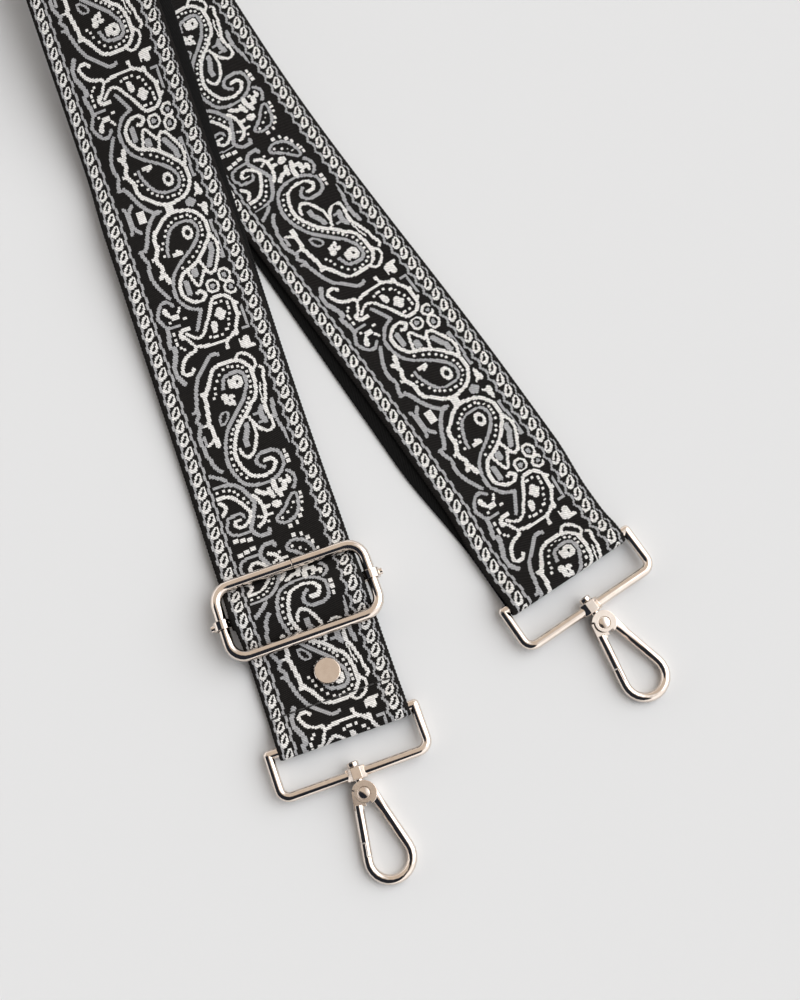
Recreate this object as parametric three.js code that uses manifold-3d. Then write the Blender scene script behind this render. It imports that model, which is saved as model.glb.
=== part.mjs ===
// A wide bag strap: one long jacquard webbing, doubled through a slider, laid folded over with a clasp on each end.
// Millimetres. +Y runs up the left leg from clasp A to the fold, +X to the right and +Z up from the table.
import * as THREE from "three";
import { mergeVertices } from "three/addons/utils/BufferGeometryUtils.js";
import Module from "manifold-3d";

const wasm = await Module();
wasm.setup();

// Clearance between neighbouring pieces, and how far a cutting solid runs past the wall that it cuts
const gap = 0.3;
const overrun = 2;
const roundSides = 14;

// Webbing
const webWidth = 49.4;
const webThickness = 1.3;
const selvedgeWidth = 0.8;
const selvedgeShare = 0.5;

// Lay of the strap on the table
const leftLegLength = 396;
const rightLegLength = 381.2;
const legSpreadDegrees = 14.3;
const hairpinRadius = 13.1;
const hairpinRows = 28;
const hairpinColumns = 8;
const crossingLift = 11.6;
const crossingStart = 95;
const crossingEnd = 340;
const riseStart = 205;
const riseEnd = 328;
const legRowLength = 9;
const hairpinSkew = 5;
const lowerLayerShift = -3.3;
const upperLayerShift = 1.55;
const shiftStart = 175;
const shiftEnd = 310;

// Sewn end and clasp folds
const sewnTailLength = 17.7;
const claspAEndLength = 29.7;
const claspFoldLength = 22;
const foldRampLength = 13;

// Clasp ring
const ringWire = 3.5;
const ringSideGap = 0.3;
const ringHeight = 15.85;
const ringCornerRadius = 3.6;
const collarWidth = 7;
const collarHeight = 4.6;
const collarThickness = 6;
const collarChamfer = 1.7;
const collarBevel = 0.3;

// Hook
const hookWire = 3.5;
const hookReach = 23.1;
const hookEyeRadius = 7.55;
const noseLength = 6;
const tongueLap = 4.4;
const armRootLength = 8;
const bossRadius = 4.4;
const cheekThickness = 1.1;
const knuckleRadius = 3.4;
const knuckleThickness = 2.4;
const rimStartDegrees = 150;
const rimEndDegrees = 258;
const gateOpenDegrees = 22;
const shankRadius = 1.5;
const swivelPlay = 0.5;
const swivelHeadRadius = 2.1;
const swivelHeadHeight = 1.7;
const bossToCollarGap = 0.4;
const hookTurnADegrees = 3.3;
const hookTurnBDegrees = 3.1;
const arcStepDegrees = 15;

// Gate pin and its torsion spring
const pinRadius = 1.1;
const pinHeadRadius = 1.9;
const pinHeadHeight = 0.4;
const pinDomeHeight = 0.2;
const pinRecessDepth = 0.5;
const springWire = 0.45;
const springRadius = 1.9;
const springPitch = 0.95;
const springTurns = 1.25;
const springLegLength = 0.7;
const springStepsPerTurn = 8;
const springSides = 5;

// Slider
const sliderSideGap = 0.8;
const sliderHeight = 30;
const sliderWire = 4;
const sliderCornerRadius = 8;
const railGap = 0.45;
const seamOffset = 2.4;
const seamGap = 0.25;
const sliderPlace = 51;
const sliderBarRadius = 1.6;
const clipWidth = 3.2;
const clipWall = 1;
const tipRadius = 1.2;
const tipLength = 0.9;
const sliderRunLength = 42;
const anchorTailLength = 27;
const anchorStart = 66;
const anchorRampLength = 11;
const tailDropLength = 12.5;

// Stud
const rivetX = 2;
const rivetY = 24.3;
const rivetHeadRadius = 4.75;
const rivetHeadHeight = 1.3;
const rivetRim = 0.35;
const rivetStemRadius = 1.4;
const rivetBackRadius = 4;
const rivetBackThickness = 1.1;

// Sizes that follow
const radians = THREE.MathUtils.degToRad;
const layerStep = webThickness + gap;
const lowLayer = webThickness / 2;
const highLayer = lowLayer + layerStep;
const thirdLayer = highLayer + layerStep;
const bendOver = (radius, layers = 0) => radius + gap + webThickness / 2 + layers * layerStep;
const spread = radians(legSpreadDegrees);
const creaseAngle = spread / 2;
const hairpinHeight = lowLayer + hairpinRadius;
const innerHairpinRadius = hairpinRadius - layerStep;
const hairpinLift = 2 * hairpinRadius - layerStep;
const hairpinReach = (Math.PI * hairpinRadius) / 2 + (webWidth / 2 + hairpinSkew) * Math.sin(creaseAngle) + gap;
const bendStart = (-Math.PI * hairpinRadius) / 2;
const innerBendShift = -Math.PI * (hairpinRadius - innerHairpinRadius);
const foldBend = bendOver(ringWire / 2);
const foldBarPlace = foldBend + webThickness / 2;
const foldBarHeight = lowLayer + foldBend;
const sliderWidth = webWidth + 2 * (sliderSideGap + sliderWire);
const railSpacing = (sliderHeight - sliderWire) / 2;
const railTop = thirdLayer + webThickness / 2;
const sliderPlaneHeight = railTop + railGap + sliderWire / 2;
const railBend = sliderWire / 2 + railGap + webThickness / 2;
const humpBend = bendOver(sliderBarRadius, 1);
const loopBend = bendOver(sliderBarRadius);

const webbingMaterial = new THREE.MeshStandardMaterial({ color: 0x2a2828, roughness: 0.85, metalness: 0 });
const nickelMaterial = new THREE.MeshStandardMaterial({ color: 0xd9cdc0, roughness: 0.18, metalness: 1 });
const springMaterial = new THREE.MeshStandardMaterial({ color: 0x8d9096, roughness: 0.35, metalness: 1 });

// A geometry with welded corners as a solid that can be cut and joined, and back again
function solidOf(geometry) {
  const bare = geometry.clone();
  bare.deleteAttribute("normal");
  bare.deleteAttribute("uv");
  const welded = mergeVertices(bare);
  const vertProperties = welded.attributes.position.array;
  const triVerts = new Uint32Array(welded.index.array);
  return new wasm.Manifold(new wasm.Mesh({ numProp: 3, vertProperties, triVerts }));
}

function geometryOf(solid) {
  const { vertProperties, triVerts } = solid.getMesh();
  const geometry = new THREE.BufferGeometry();
  geometry.setAttribute("position", new THREE.BufferAttribute(vertProperties, 3));
  geometry.setIndex(new THREE.BufferAttribute(triVerts, 1));
  geometry.computeVertexNormals();
  return geometry;
}

// A wire's centreline through given points. The section keeps its first normal, carried along without twist.
class WirePath extends THREE.Curve {
  constructor(points, firstNormal = new THREE.Vector3(0, 0, 1)) {
    super();
    this.points = points;
    this.firstNormal = firstNormal;
  }

  getPoint(t, target = new THREE.Vector3()) {
    const place = t * (this.points.length - 1);
    const before = Math.min(Math.floor(place), this.points.length - 2);
    return target.lerpVectors(this.points[before], this.points[before + 1], place - before);
  }

  getSpacedPoints() {
    return this.points;
  }

  computeFrenetFrames() {
    const tangents = this.points.map((point, i) => {
      const next = this.points[Math.min(i + 1, this.points.length - 1)];
      const last = this.points[Math.max(i - 1, 0)];
      return new THREE.Vector3().subVectors(next, last).normalize();
    });
    const normals = [];
    tangents.forEach((tangent, i) => {
      const carried = (i ? normals[i - 1] : this.firstNormal).clone();
      normals.push(carried.addScaledVector(tangent, -carried.dot(tangent)).normalize());
    });
    const binormals = tangents.map((tangent, i) => new THREE.Vector3().crossVectors(tangent, normals[i]));
    return { tangents, normals, binormals };
  }
}

function wireAlong(points, radius, sides = roundSides, firstNormal) {
  const section = new THREE.Shape();
  for (let i = 0; i < sides; i += 1) {
    const angle = (2 * Math.PI * (i + 1 / 2)) / sides;
    const corner = [radius * Math.cos(angle), radius * Math.sin(angle)];
    if (i) section.lineTo(...corner);
    else section.moveTo(...corner);
  }
  const extrudePath = new WirePath(points, firstNormal);
  return new THREE.ExtrudeGeometry(section, { steps: points.length - 1, extrudePath });
}

const flatPoint = (x, y) => new THREE.Vector3(x, y, 0);

// Points of an arc in the XY plane, from one angle to another in degrees
function arcPoints(centreX, centreY, radius, fromDegrees, toDegrees) {
  const steps = Math.max(Math.round(Math.abs(toDegrees - fromDegrees) / arcStepDegrees), 1);
  return Array.from({ length: steps + 1 }, (unused, i) => {
    const angle = radians(fromDegrees + ((toDegrees - fromDegrees) * i) / steps);
    return flatPoint(centreX + radius * Math.cos(angle), centreY + radius * Math.sin(angle));
  });
}

// A cylinder, or a turned profile of [radius, place] pairs, standing along +Z
const standing = (geometry) => geometry.rotateX(Math.PI / 2);
const disc = (radius, height) => standing(new THREE.CylinderGeometry(radius, radius, height, 2 * roundSides));
const turned = (profile) =>
  standing(new THREE.LatheGeometry(profile.map(([r, z]) => new THREE.Vector2(r, z)), 2 * roundSides));

// A length of webbing: a flat box bent so that its middle follows a side profile of (along, height) points.
// It may wander sideways by an amount that depends on the place along it. The selvedges are thinner.
function webbingAlong(profile, sideways = () => 0) {
  const rows = profile.length - 1;
  const geometry = new THREE.BoxGeometry(webWidth, 1, webThickness, 3, rows, 1);
  const columns = [-webWidth / 2, selvedgeWidth - webWidth / 2, webWidth / 2 - selvedgeWidth, webWidth / 2];
  const position = geometry.attributes.position;
  for (let i = 0; i < position.count; i += 1) {
    const row = Math.round((position.getY(i) + 1 / 2) * rows);
    const column = Math.round((position.getX(i) / webWidth + 1 / 2) * 3);
    const edge = column === 0 || column === 3;
    const offset = position.getZ(i) * (edge ? selvedgeShare : 1);
    const here = profile[row];
    const before = new THREE.Vector2().subVectors(here, profile[Math.max(row - 1, 0)]).normalize();
    const after = new THREE.Vector2().subVectors(profile[Math.min(row + 1, rows)], here).normalize();
    const along = before.clone().add(after).normalize();
    const mitre = row > 0 && row < rows ? 1 / before.dot(along) : 1;
    const y = here.x - along.y * offset * mitre;
    const z = here.y + along.x * offset * mitre;
    position.setXYZ(i, columns[column] + sideways(here.x), y, z);
  }
  return geometry;
}

const smooth = (t) => {
  const held = THREE.MathUtils.clamp(t, 0, 1);
  return held * held * (3 - 2 * held);
};
const smoothBetween = (place, from, to) => smooth((place - from) / (to - from));

// Height that the left leg gains on its way up: some to cross the right leg, and the rest into the tall hairpin
const lift = (place) =>
  crossingLift * smoothBetween(place, crossingStart, crossingEnd) +
  (hairpinLift - crossingLift) * smoothBetween(place, riseStart, riseEnd);

// The layer on top lies over the sewn end of the slider loop and drops to the layer below after it
const anchorTailEnd = sliderPlace + anchorTailLength;
const frontHeight = (place) => {
  const drop = smoothBetween(place, anchorTailEnd + gap, anchorTailEnd + gap + tailDropLength);
  return thirdLayer - layerStep * drop + lift(place);
};
const backHeight = (place) => lowLayer + lift(place);

function legProfile(from, to, height) {
  const rows = Math.round(Math.abs(to - from) / legRowLength);
  return Array.from({ length: rows + 1 }, (unused, i) => {
    const place = from + ((to - from) * i) / rows;
    return new THREE.Vector2(place, height(place));
  });
}

// Side profile of a fold round a clasp bar: back layer on the table, half turn, and a ramp down to the front layer
function claspFoldProfile(backLength, frontLength) {
  const path = new THREE.Path();
  path.moveTo(backLength, lowLayer);
  path.lineTo(foldBarPlace, lowLayer);
  path.absarc(foldBarPlace, foldBarHeight, foldBend, -Math.PI / 2, Math.PI / 2, true);
  const top = foldBarHeight + foldBend;
  const rampEnd = foldBarPlace + foldRampLength;
  const middle = foldBarPlace + foldRampLength / 2;
  path.bezierCurveTo(middle, top, middle, highLayer, rampEnd, highLayer);
  path.lineTo(frontLength, highLayer);
  return path.getPoints(8);
}

// The slope of the webbing between a rail that it passes under and the bar that it passes over
const slope = Math.asin((railBend + humpBend) / railSpacing);

function sliderRunProfile() {
  const start = claspAEndLength + gap;
  const lowerRail = sliderPlace - railSpacing;
  const upperRail = sliderPlace + railSpacing;
  const middle = (start + lowerRail) / 2;
  const path = new THREE.Path();
  path.moveTo(start, highLayer);
  path.bezierCurveTo(middle, highLayer, middle, thirdLayer, lowerRail, thirdLayer);
  path.absarc(lowerRail, sliderPlaneHeight, railBend, -Math.PI / 2, slope - Math.PI / 2, false);
  path.absarc(sliderPlace, sliderPlaneHeight, humpBend, Math.PI / 2 + slope, Math.PI / 2 - slope, true);
  path.absarc(upperRail, sliderPlaneHeight, railBend, -Math.PI / 2 - slope, -Math.PI / 2, false);
  path.lineTo(start + sliderRunLength, thirdLayer);
  return path.getPoints(5);
}

function anchorProfile() {
  const upperRail = sliderPlace + railSpacing;
  const underBar = sliderPlaneHeight - loopBend;
  const rampStart = sliderPlace + anchorRampLength;
  const middle = sliderPlace + anchorRampLength / 2;
  const path = new THREE.Path();
  path.moveTo(anchorStart, lowLayer);
  path.lineTo(rampStart, lowLayer);
  path.bezierCurveTo(middle, lowLayer, middle, underBar, sliderPlace, underBar);
  path.absarc(sliderPlace, sliderPlaneHeight, loopBend, -Math.PI / 2, Math.PI / 2 - slope, true);
  const tailBend = railBend + layerStep;
  path.absarc(upperRail, sliderPlaneHeight, tailBend, -Math.PI / 2 - slope, -Math.PI / 2, false);
  path.lineTo(anchorTailEnd, highLayer);
  return path.getPoints(6);
}

// One layer of the hairpin, developed from a flat strip: it turns over a cylinder whose axis is the crease.
function hairpin(radius, skew) {
  const geometry = new THREE.BoxGeometry(webWidth, 2 * hairpinReach, webThickness, hairpinColumns, hairpinRows, 1);
  const position = geometry.attributes.position;
  const turn = Math.PI * radius;
  for (let i = 0; i < position.count; i += 1) {
    const across = position.getX(i) + skew;
    const along = position.getY(i);
    const out = radius + position.getZ(i);
    const creaseway = across * Math.cos(creaseAngle) + along * Math.sin(creaseAngle);
    const outward = along * Math.cos(creaseAngle) - across * Math.sin(creaseAngle);
    const angle = THREE.MathUtils.clamp((outward - bendStart) / radius, 0, Math.PI);
    const past = Math.max(outward - bendStart - turn, 0);
    const reach = Math.min(outward, bendStart) + out * Math.sin(angle) - past;
    const x = creaseway * Math.cos(creaseAngle) - reach * Math.sin(creaseAngle);
    const y = creaseway * Math.sin(creaseAngle) + reach * Math.cos(creaseAngle);
    position.setXYZ(i, x, leftLegLength + y, hairpinHeight + out * Math.cos(angle));
  }
  return geometry;
}

// Clasp ring: a U of wire, a straight top bar inside the webbing fold, and a collar on the lower bar.
// Its origin is the middle of the top bar and it hangs along -Y.
const ringHalfWidth = webWidth / 2 + ringSideGap + ringWire / 2;

function claspRing() {
  const cornerX = ringHalfWidth - ringCornerRadius;
  const cornerY = ringCornerRadius - ringHeight;
  const loop = wireAlong(
    [
      flatPoint(-ringHalfWidth, 0),
      ...arcPoints(-cornerX, cornerY, ringCornerRadius, 180, 270),
      ...arcPoints(cornerX, cornerY, ringCornerRadius, 270, 360),
      flatPoint(ringHalfWidth, 0),
    ],
    ringWire / 2,
  );
  const topBar = wireAlong([flatPoint(-ringHalfWidth, 0), flatPoint(ringHalfWidth, 0)], ringWire / 2);
  let ring = solidOf(loop).add(solidOf(topBar));
  for (const side of [-1, 1]) {
    const corner = new THREE.SphereGeometry(ringWire / 2, roundSides, roundSides / 2);
    ring = ring.add(solidOf(corner.translate(side * ringHalfWidth, 0, 0)));
  }
  const bore = new THREE.CylinderGeometry(
    shankRadius + swivelPlay,
    shankRadius + swivelPlay,
    collarHeight + overrun,
    roundSides,
  );
  ring = ring.add(solidOf(collar().translate(0, -ringHeight, 0)));
  return geometryOf(ring.subtract(solidOf(bore.translate(0, -ringHeight, 0))));
}

function collar() {
  const halfWidth = collarWidth / 2 - collarBevel;
  const halfThickness = collarThickness / 2 - collarBevel;
  const outline = new THREE.Shape();
  outline.moveTo(halfWidth, collarChamfer - halfThickness);
  outline.lineTo(halfWidth, halfThickness - collarChamfer);
  outline.lineTo(halfWidth - collarChamfer, halfThickness);
  outline.lineTo(collarChamfer - halfWidth, halfThickness);
  outline.lineTo(-halfWidth, halfThickness - collarChamfer);
  outline.lineTo(-halfWidth, collarChamfer - halfThickness);
  outline.lineTo(collarChamfer - halfWidth, -halfThickness);
  outline.lineTo(halfWidth - collarChamfer, -halfThickness);
  const depth = collarHeight - 2 * collarBevel;
  const bevels = { bevelThickness: collarBevel, bevelSize: collarBevel, bevelSegments: 1 };
  const block = new THREE.ExtrudeGeometry(outline, { depth, ...bevels });
  return block.translate(0, 0, -depth / 2).rotateX(Math.PI / 2);
}

// Hook: its origin is the gate pin, and the eye hangs along -Y. The arm is on the right, the gate on the left.
const slotThickness = knuckleThickness + 2 * gap;
const bossThickness = slotThickness + 2 * cheekThickness;
const collarToPin = collarHeight / 2 + bossToCollarGap + bossRadius;
const slotRadius = knuckleRadius + gap;

// Arm and gate run as tangents from the boss's outline to the eye, each leaning by the same angle
const armOffset = bossRadius - hookWire / 2;
const lean = Math.asin((hookEyeRadius - armOffset) / hookReach);
const leanDegrees = THREE.MathUtils.radToDeg(lean);
const armLength = hookReach * Math.cos(lean);
const gateFoot = flatPoint(-hookEyeRadius * Math.cos(lean), hookEyeRadius * Math.sin(lean) - hookReach);
const gateUp = flatPoint(Math.sin(lean), Math.cos(lean));
const onGateLine = (distance) => gateFoot.clone().addScaledVector(gateUp, distance);
const gateWireLength = armLength - slotRadius;

// A block that covers one side of the gate line over a stretch of it, for the stepped lap of nose and gate
function lapBlock(from, to, fromSide, toSide) {
  const block = new THREE.BoxGeometry(toSide - fromSide, to - from, 2 * hookWire);
  block.translate((fromSide + toSide) / 2, (from + to) / 2, 0).rotateZ(-lean);
  return solidOf(block.translate(gateFoot.x, gateFoot.y, 0));
}

// A wedge of a disc round the pin, between two angles in degrees
function sector(radius, fromDegrees, toDegrees, height) {
  const outline = new THREE.Shape();
  outline.moveTo(0, 0);
  outline.absarc(0, 0, radius, radians(fromDegrees), radians(toDegrees), false);
  outline.lineTo(0, 0);
  const wedge = new THREE.ExtrudeGeometry(outline, { depth: height, bevelEnabled: false });
  return solidOf(wedge.translate(0, 0, -height / 2));
}

function hookBody() {
  const armHead = flatPoint(armOffset * Math.cos(lean), armOffset * Math.sin(lean));
  const armDown = flatPoint(Math.sin(lean), -Math.cos(lean));
  const wire = wireAlong(
    [
      armHead,
      ...arcPoints(0, -hookReach, hookEyeRadius, leanDegrees, -180 - leanDegrees),
      onGateLine(noseLength),
    ],
    hookWire / 2,
  );
  const rootTop = solidOf(disc(hookWire / 2, bossThickness)).translate(armHead.x, armHead.y, 0);
  const rootEnd = armHead.clone().addScaledVector(armDown, armRootLength);
  const ball = new THREE.SphereGeometry(hookWire / 2, roundSides, roundSides / 2);
  const armRoot = wasm.Manifold.hull([rootTop, solidOf(ball.translate(rootEnd.x, rootEnd.y, 0))]);
  const headPlace = collarToPin + collarHeight / 2 + gap;
  const shankProfile = [
    [0, 0],
    [shankRadius, 0],
    [shankRadius, headPlace],
    [swivelHeadRadius, headPlace],
    [swivelHeadRadius, headPlace + swivelHeadHeight * 0.8],
    [swivelHeadRadius * 0.8, headPlace + swivelHeadHeight],
    [0, headPlace + swivelHeadHeight],
  ];
  const shank = new THREE.LatheGeometry(shankProfile.map(([r, y]) => new THREE.Vector2(r, y)), roundSides);
  const slot = new THREE.CylinderGeometry(slotRadius, slotRadius, slotThickness, 2 * roundSides);
  const mouthPlay = THREE.MathUtils.radToDeg(gap / knuckleRadius);
  const mouthAngles = [rimStartDegrees - mouthPlay, rimEndDegrees + gateOpenDegrees + mouthPlay];
  const mouth = sector(bossRadius + overrun, ...mouthAngles, slotThickness);
  const cheekCore = solidOf(disc(knuckleRadius, bossThickness + 2 * overrun));
  const cheekCut = sector(bossRadius + overrun, ...mouthAngles, bossThickness + overrun).subtract(cheekCore);
  const pinHole = disc(pinRadius + gap, bossThickness + overrun);
  const legHole = disc(springWire / 2 + gap, cheekThickness + overrun);
  legHole.translate(springRadius, 0, -(slotThickness + cheekThickness + overrun) / 2 + gap);
  let body = solidOf(disc(bossRadius, bossThickness));
  body = body.add(solidOf(wire)).add(armRoot).add(solidOf(shank));
  body = body.subtract(solidOf(standing(slot))).subtract(mouth).subtract(cheekCut);
  body = body.subtract(solidOf(pinHole)).subtract(solidOf(legHole));
  for (const side of [-1, 1]) {
    const recess = disc(pinHeadRadius + gap, 2 * pinRecessDepth);
    body = body.subtract(solidOf(recess.translate(0, 0, (side * bossThickness) / 2)));
  }
  const inner = lapBlock(noseLength - tongueLap - gap, noseLength + overrun, 0, hookWire);
  return geometryOf(body.subtract(inner));
}

function hookGate() {
  const wire = wireAlong(
    [onGateLine(noseLength - tongueLap), onGateLine(gateWireLength)],
    hookWire / 2,
  );
  const outerLap = lapBlock(-overrun, noseLength + gap, -hookWire, gap);
  const neckLength = slotRadius + hookWire / 2;
  const neck = new THREE.BoxGeometry(hookWire, neckLength, knuckleThickness);
  neck.translate(-armOffset, -neckLength / 2, 0).rotateZ(-lean);
  const rim = sector(bossRadius, rimStartDegrees, rimEndDegrees, knuckleThickness);
  const cavityRadius = springRadius + springWire / 2 + gap;
  const cavityRoof = springTurns * springPitch + springWire - knuckleThickness / 2 + 2 * gap;
  const cavity = disc(cavityRadius, cavityRoof + knuckleThickness / 2 + overrun);
  cavity.translate(0, 0, (cavityRoof - knuckleThickness / 2 - overrun) / 2);
  const legHole = disc(springWire / 2 + gap, knuckleThickness);
  const legAngle = 2 * Math.PI * springTurns;
  legHole.translate(springRadius * Math.cos(legAngle), springRadius * Math.sin(legAngle), knuckleThickness / 2);
  let gate = solidOf(disc(knuckleRadius, knuckleThickness));
  gate = gate.add(solidOf(neck)).add(rim).add(solidOf(wire).subtract(outerLap));
  gate = gate.subtract(solidOf(disc(pinRadius + gap, knuckleThickness + overrun)));
  return geometryOf(gate.subtract(solidOf(cavity)).subtract(solidOf(legHole)));
}

function gatePin() {
  const seat = bossThickness / 2 - pinRecessDepth + gap;
  const rim = seat + pinHeadHeight;
  return turned([
    [0, -rim - pinDomeHeight],
    [pinHeadRadius / 2, -rim - pinDomeHeight * 0.75],
    [pinHeadRadius, -rim],
    [pinHeadRadius, -seat],
    [pinRadius, -seat],
    [pinRadius, seat],
    [pinHeadRadius, seat],
    [pinHeadRadius, rim],
    [pinHeadRadius / 2, rim + pinDomeHeight * 0.75],
    [0, rim + pinDomeHeight],
  ]);
}

// Torsion spring: a short coil round the pin whose ends stand up into the knuckle and down into the cheek
function gateSpringPoints() {
  const base = springWire / 2 + gap - knuckleThickness / 2;
  const steps = springTurns * springStepsPerTurn;
  const coil = Array.from({ length: steps + 1 }, (unused, i) => {
    const angle = (2 * Math.PI * i) / springStepsPerTurn;
    const height = base + (springPitch * i) / springStepsPerTurn;
    return new THREE.Vector3(springRadius * Math.cos(angle), springRadius * Math.sin(angle), height);
  });
  const foot = coil[0].clone();
  foot.z -= springLegLength;
  const head = coil[steps].clone();
  head.z += springLegLength;
  return [foot, ...coil, head];
}

// Least distance between surfaces of turns that lie at least half a turn apart on the coil
function leastSelfGap(points, wire) {
  let least = Infinity;
  points.forEach((a, i) => {
    points.slice(i + Math.ceil(springStepsPerTurn / 2)).forEach((b) => {
      least = Math.min(least, a.distanceTo(b) - wire);
    });
  });
  return least;
}

function gateSpring() {
  const points = gateSpringPoints();
  console.log("gate spring: least gap to itself", leastSelfGap(points, springWire).toFixed(2), "mm");
  return wireAlong(points, springWire / 2, springSides, new THREE.Vector3(1, 0, 0));
}

// Slider: a rounded rectangle of wire with a butt seam in its upper rail, and a bar clipped round its sides.
// Its origin is the middle of the bar.
function sliderFrame() {
  const bend = sliderCornerRadius - sliderWire / 2;
  const cornerX = sliderWidth / 2 - sliderCornerRadius;
  const cornerY = railSpacing - bend;
  return wireAlong(
    [
      flatPoint(seamOffset - seamGap / 2, railSpacing),
      ...arcPoints(-cornerX, cornerY, bend, 90, 180),
      ...arcPoints(-cornerX, -cornerY, bend, 180, 270),
      ...arcPoints(cornerX, -cornerY, bend, 270, 360),
      ...arcPoints(cornerX, cornerY, bend, 0, 90),
      flatPoint(seamOffset + seamGap / 2, railSpacing),
    ],
    sliderWire / 2,
  );
}

function sliderBar() {
  const sideWire = sliderWidth / 2 - sliderWire / 2;
  const clipBore = sliderWire / 2 + gap;
  const clipOuter = clipBore + clipWall;
  const barEnd = sideWire - clipBore - clipWall / 4;
  let bar = solidOf(wireAlong([flatPoint(-barEnd, 0), flatPoint(barEnd, 0)], sliderBarRadius));
  for (const side of [-1, 1]) {
    const section = [
      new THREE.Vector2(clipBore, -clipWidth / 2),
      new THREE.Vector2(clipOuter, -clipWidth / 2),
      new THREE.Vector2(clipOuter, clipWidth / 2),
      new THREE.Vector2(clipBore, clipWidth / 2),
      new THREE.Vector2(clipBore, -clipWidth / 2),
    ];
    const clip = new THREE.LatheGeometry(section, 2 * roundSides).translate(side * sideWire, 0, 0);
    const tipFrom = side * (sideWire + clipBore + clipWall / 2);
    const tipTo = side * (sideWire + clipOuter + tipLength);
    const tip = wireAlong([flatPoint(tipFrom, 0), flatPoint(tipTo, 0)], tipRadius);
    bar = bar.add(solidOf(clip)).add(solidOf(tip));
  }
  return geometryOf(bar);
}

// Stud: a flat-headed cap whose stem passes through the webbing into a washer
const webbingTop = highLayer + webThickness / 2;
const webbingUnder = highLayer - webThickness / 2;
const washerTop = webbingUnder - gap;

function rivetCap() {
  const seat = webbingTop + gap;
  const top = seat + rivetHeadHeight;
  return turned([
    [0, washerTop - rivetBackThickness],
    [rivetStemRadius, washerTop - rivetBackThickness],
    [rivetStemRadius, seat],
    [rivetHeadRadius, seat],
    [rivetHeadRadius, top - rivetRim],
    [rivetHeadRadius - rivetRim, top],
    [0, top],
  ]);
}

function rivetBack() {
  const bore = rivetStemRadius + gap;
  const bottom = washerTop - rivetBackThickness;
  return turned([
    [bore, bottom],
    [rivetBackRadius - rivetRim, bottom],
    [rivetBackRadius, washerTop],
    [bore, washerTop],
    [bore, bottom],
  ]);
}

// Builds a mesh, names it and hangs it in its group
function place(name, geometry, material, parent) {
  const mesh = new THREE.Mesh(geometry, material);
  mesh.name = name;
  parent.add(mesh);
  return mesh;
}

const strap = new THREE.Group();
const lay = new THREE.Group();
strap.add(lay);

// Left leg: both layers run up from the clasp and the slider to the hairpin
const claspAEnd = solidOf(webbingAlong(claspFoldProfile(sewnTailLength, claspAEndLength)));
const rivetHole = disc(rivetStemRadius + gap, 2 * foldBarHeight).translate(rivetX, rivetY, highLayer);
place("webbing_clasp_a_end", geometryOf(claspAEnd.subtract(solidOf(rivetHole))), webbingMaterial, lay);
place("webbing_slider_run", webbingAlong(sliderRunProfile()), webbingMaterial, lay);
const frontStart = claspAEndLength + sliderRunLength + 2 * gap;
const legTop = leftLegLength - hairpinReach - gap;
place("webbing_left_leg_front", webbingAlong(legProfile(frontStart, legTop, frontHeight)), webbingMaterial, lay);
place("webbing_slider_anchor", webbingAlong(anchorProfile()), webbingMaterial, lay);
const skewedBack = (y) => hairpinSkew * smoothBetween(y, crossingStart, legTop);
const leftBack = webbingAlong(legProfile(anchorStart + gap, legTop, backHeight), skewedBack);
place("webbing_left_leg_back", leftBack, webbingMaterial, lay);

// Hairpin, outer and inner layer
place("webbing_fold_outer", hairpin(hairpinRadius, 0), webbingMaterial, lay);
place("webbing_fold_inner", hairpin(innerHairpinRadius, hairpinSkew), webbingMaterial, lay);

// Right leg: it lies on the table, and its own frame starts at the crease with the leg along -Y
const rightLeg = new THREE.Group();
rightLeg.position.y = leftLegLength;
rightLeg.rotation.z = spread;
lay.add(rightLeg);
const legEnd = claspFoldLength + gap - rightLegLength;
const awayAt = (y) => smoothBetween(-y, hairpinReach, shiftStart);
const closeAt = (y) => 1 - smoothBetween(-y, shiftEnd, -legEnd);
const outerSkew = (y) => lowerLayerShift * awayAt(y) * closeAt(y);
const innerSkewStart = hairpinSkew + innerBendShift * Math.sin(creaseAngle);
const innerSkew = (y) => {
  const far = THREE.MathUtils.lerp(innerSkewStart, -upperLayerShift, awayAt(y));
  return THREE.MathUtils.lerp(far, upperLayerShift, smoothBetween(-y, shiftStart, shiftEnd)) * closeAt(y);
};
const rightBack = legProfile(-hairpinReach - gap, legEnd, () => lowLayer);
place("webbing_right_leg_back", webbingAlong(rightBack, outerSkew), webbingMaterial, rightLeg);
const innerStart = innerBendShift * Math.cos(creaseAngle) - hairpinReach - gap;
const rightFront = legProfile(legEnd, innerStart, () => highLayer);
place("webbing_right_leg_front", webbingAlong(rightFront, innerSkew), webbingMaterial, rightLeg);

// Clasps: each hangs on a fold, the left one sewn and the right one loose
function clasp(letter, foldGroup, turnDegrees) {
  const ringGroup = new THREE.Group();
  ringGroup.position.set(0, foldBarPlace, foldBarHeight);
  foldGroup.add(ringGroup);
  place("clasp_ring_" + letter, claspRing(), nickelMaterial, ringGroup);
  const hookGroup = new THREE.Group();
  const hookLength = collarToPin + hookReach + hookEyeRadius;
  const droop = Math.asin((foldBarHeight - hookWire / 2) / hookLength);
  hookGroup.position.y = -ringHeight;
  hookGroup.rotation.set(droop, 0, radians(turnDegrees), "ZXY");
  ringGroup.add(hookGroup);
  const pinGroup = new THREE.Group();
  pinGroup.position.y = -collarToPin;
  hookGroup.add(pinGroup);
  place("hook_body_" + letter, hookBody(), nickelMaterial, pinGroup);
  place("hook_gate_" + letter, hookGate(), nickelMaterial, pinGroup);
  place("gate_pin_" + letter, gatePin(), nickelMaterial, pinGroup);
  place("gate_spring_" + letter, gateSpring(), springMaterial, pinGroup);
}

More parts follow.
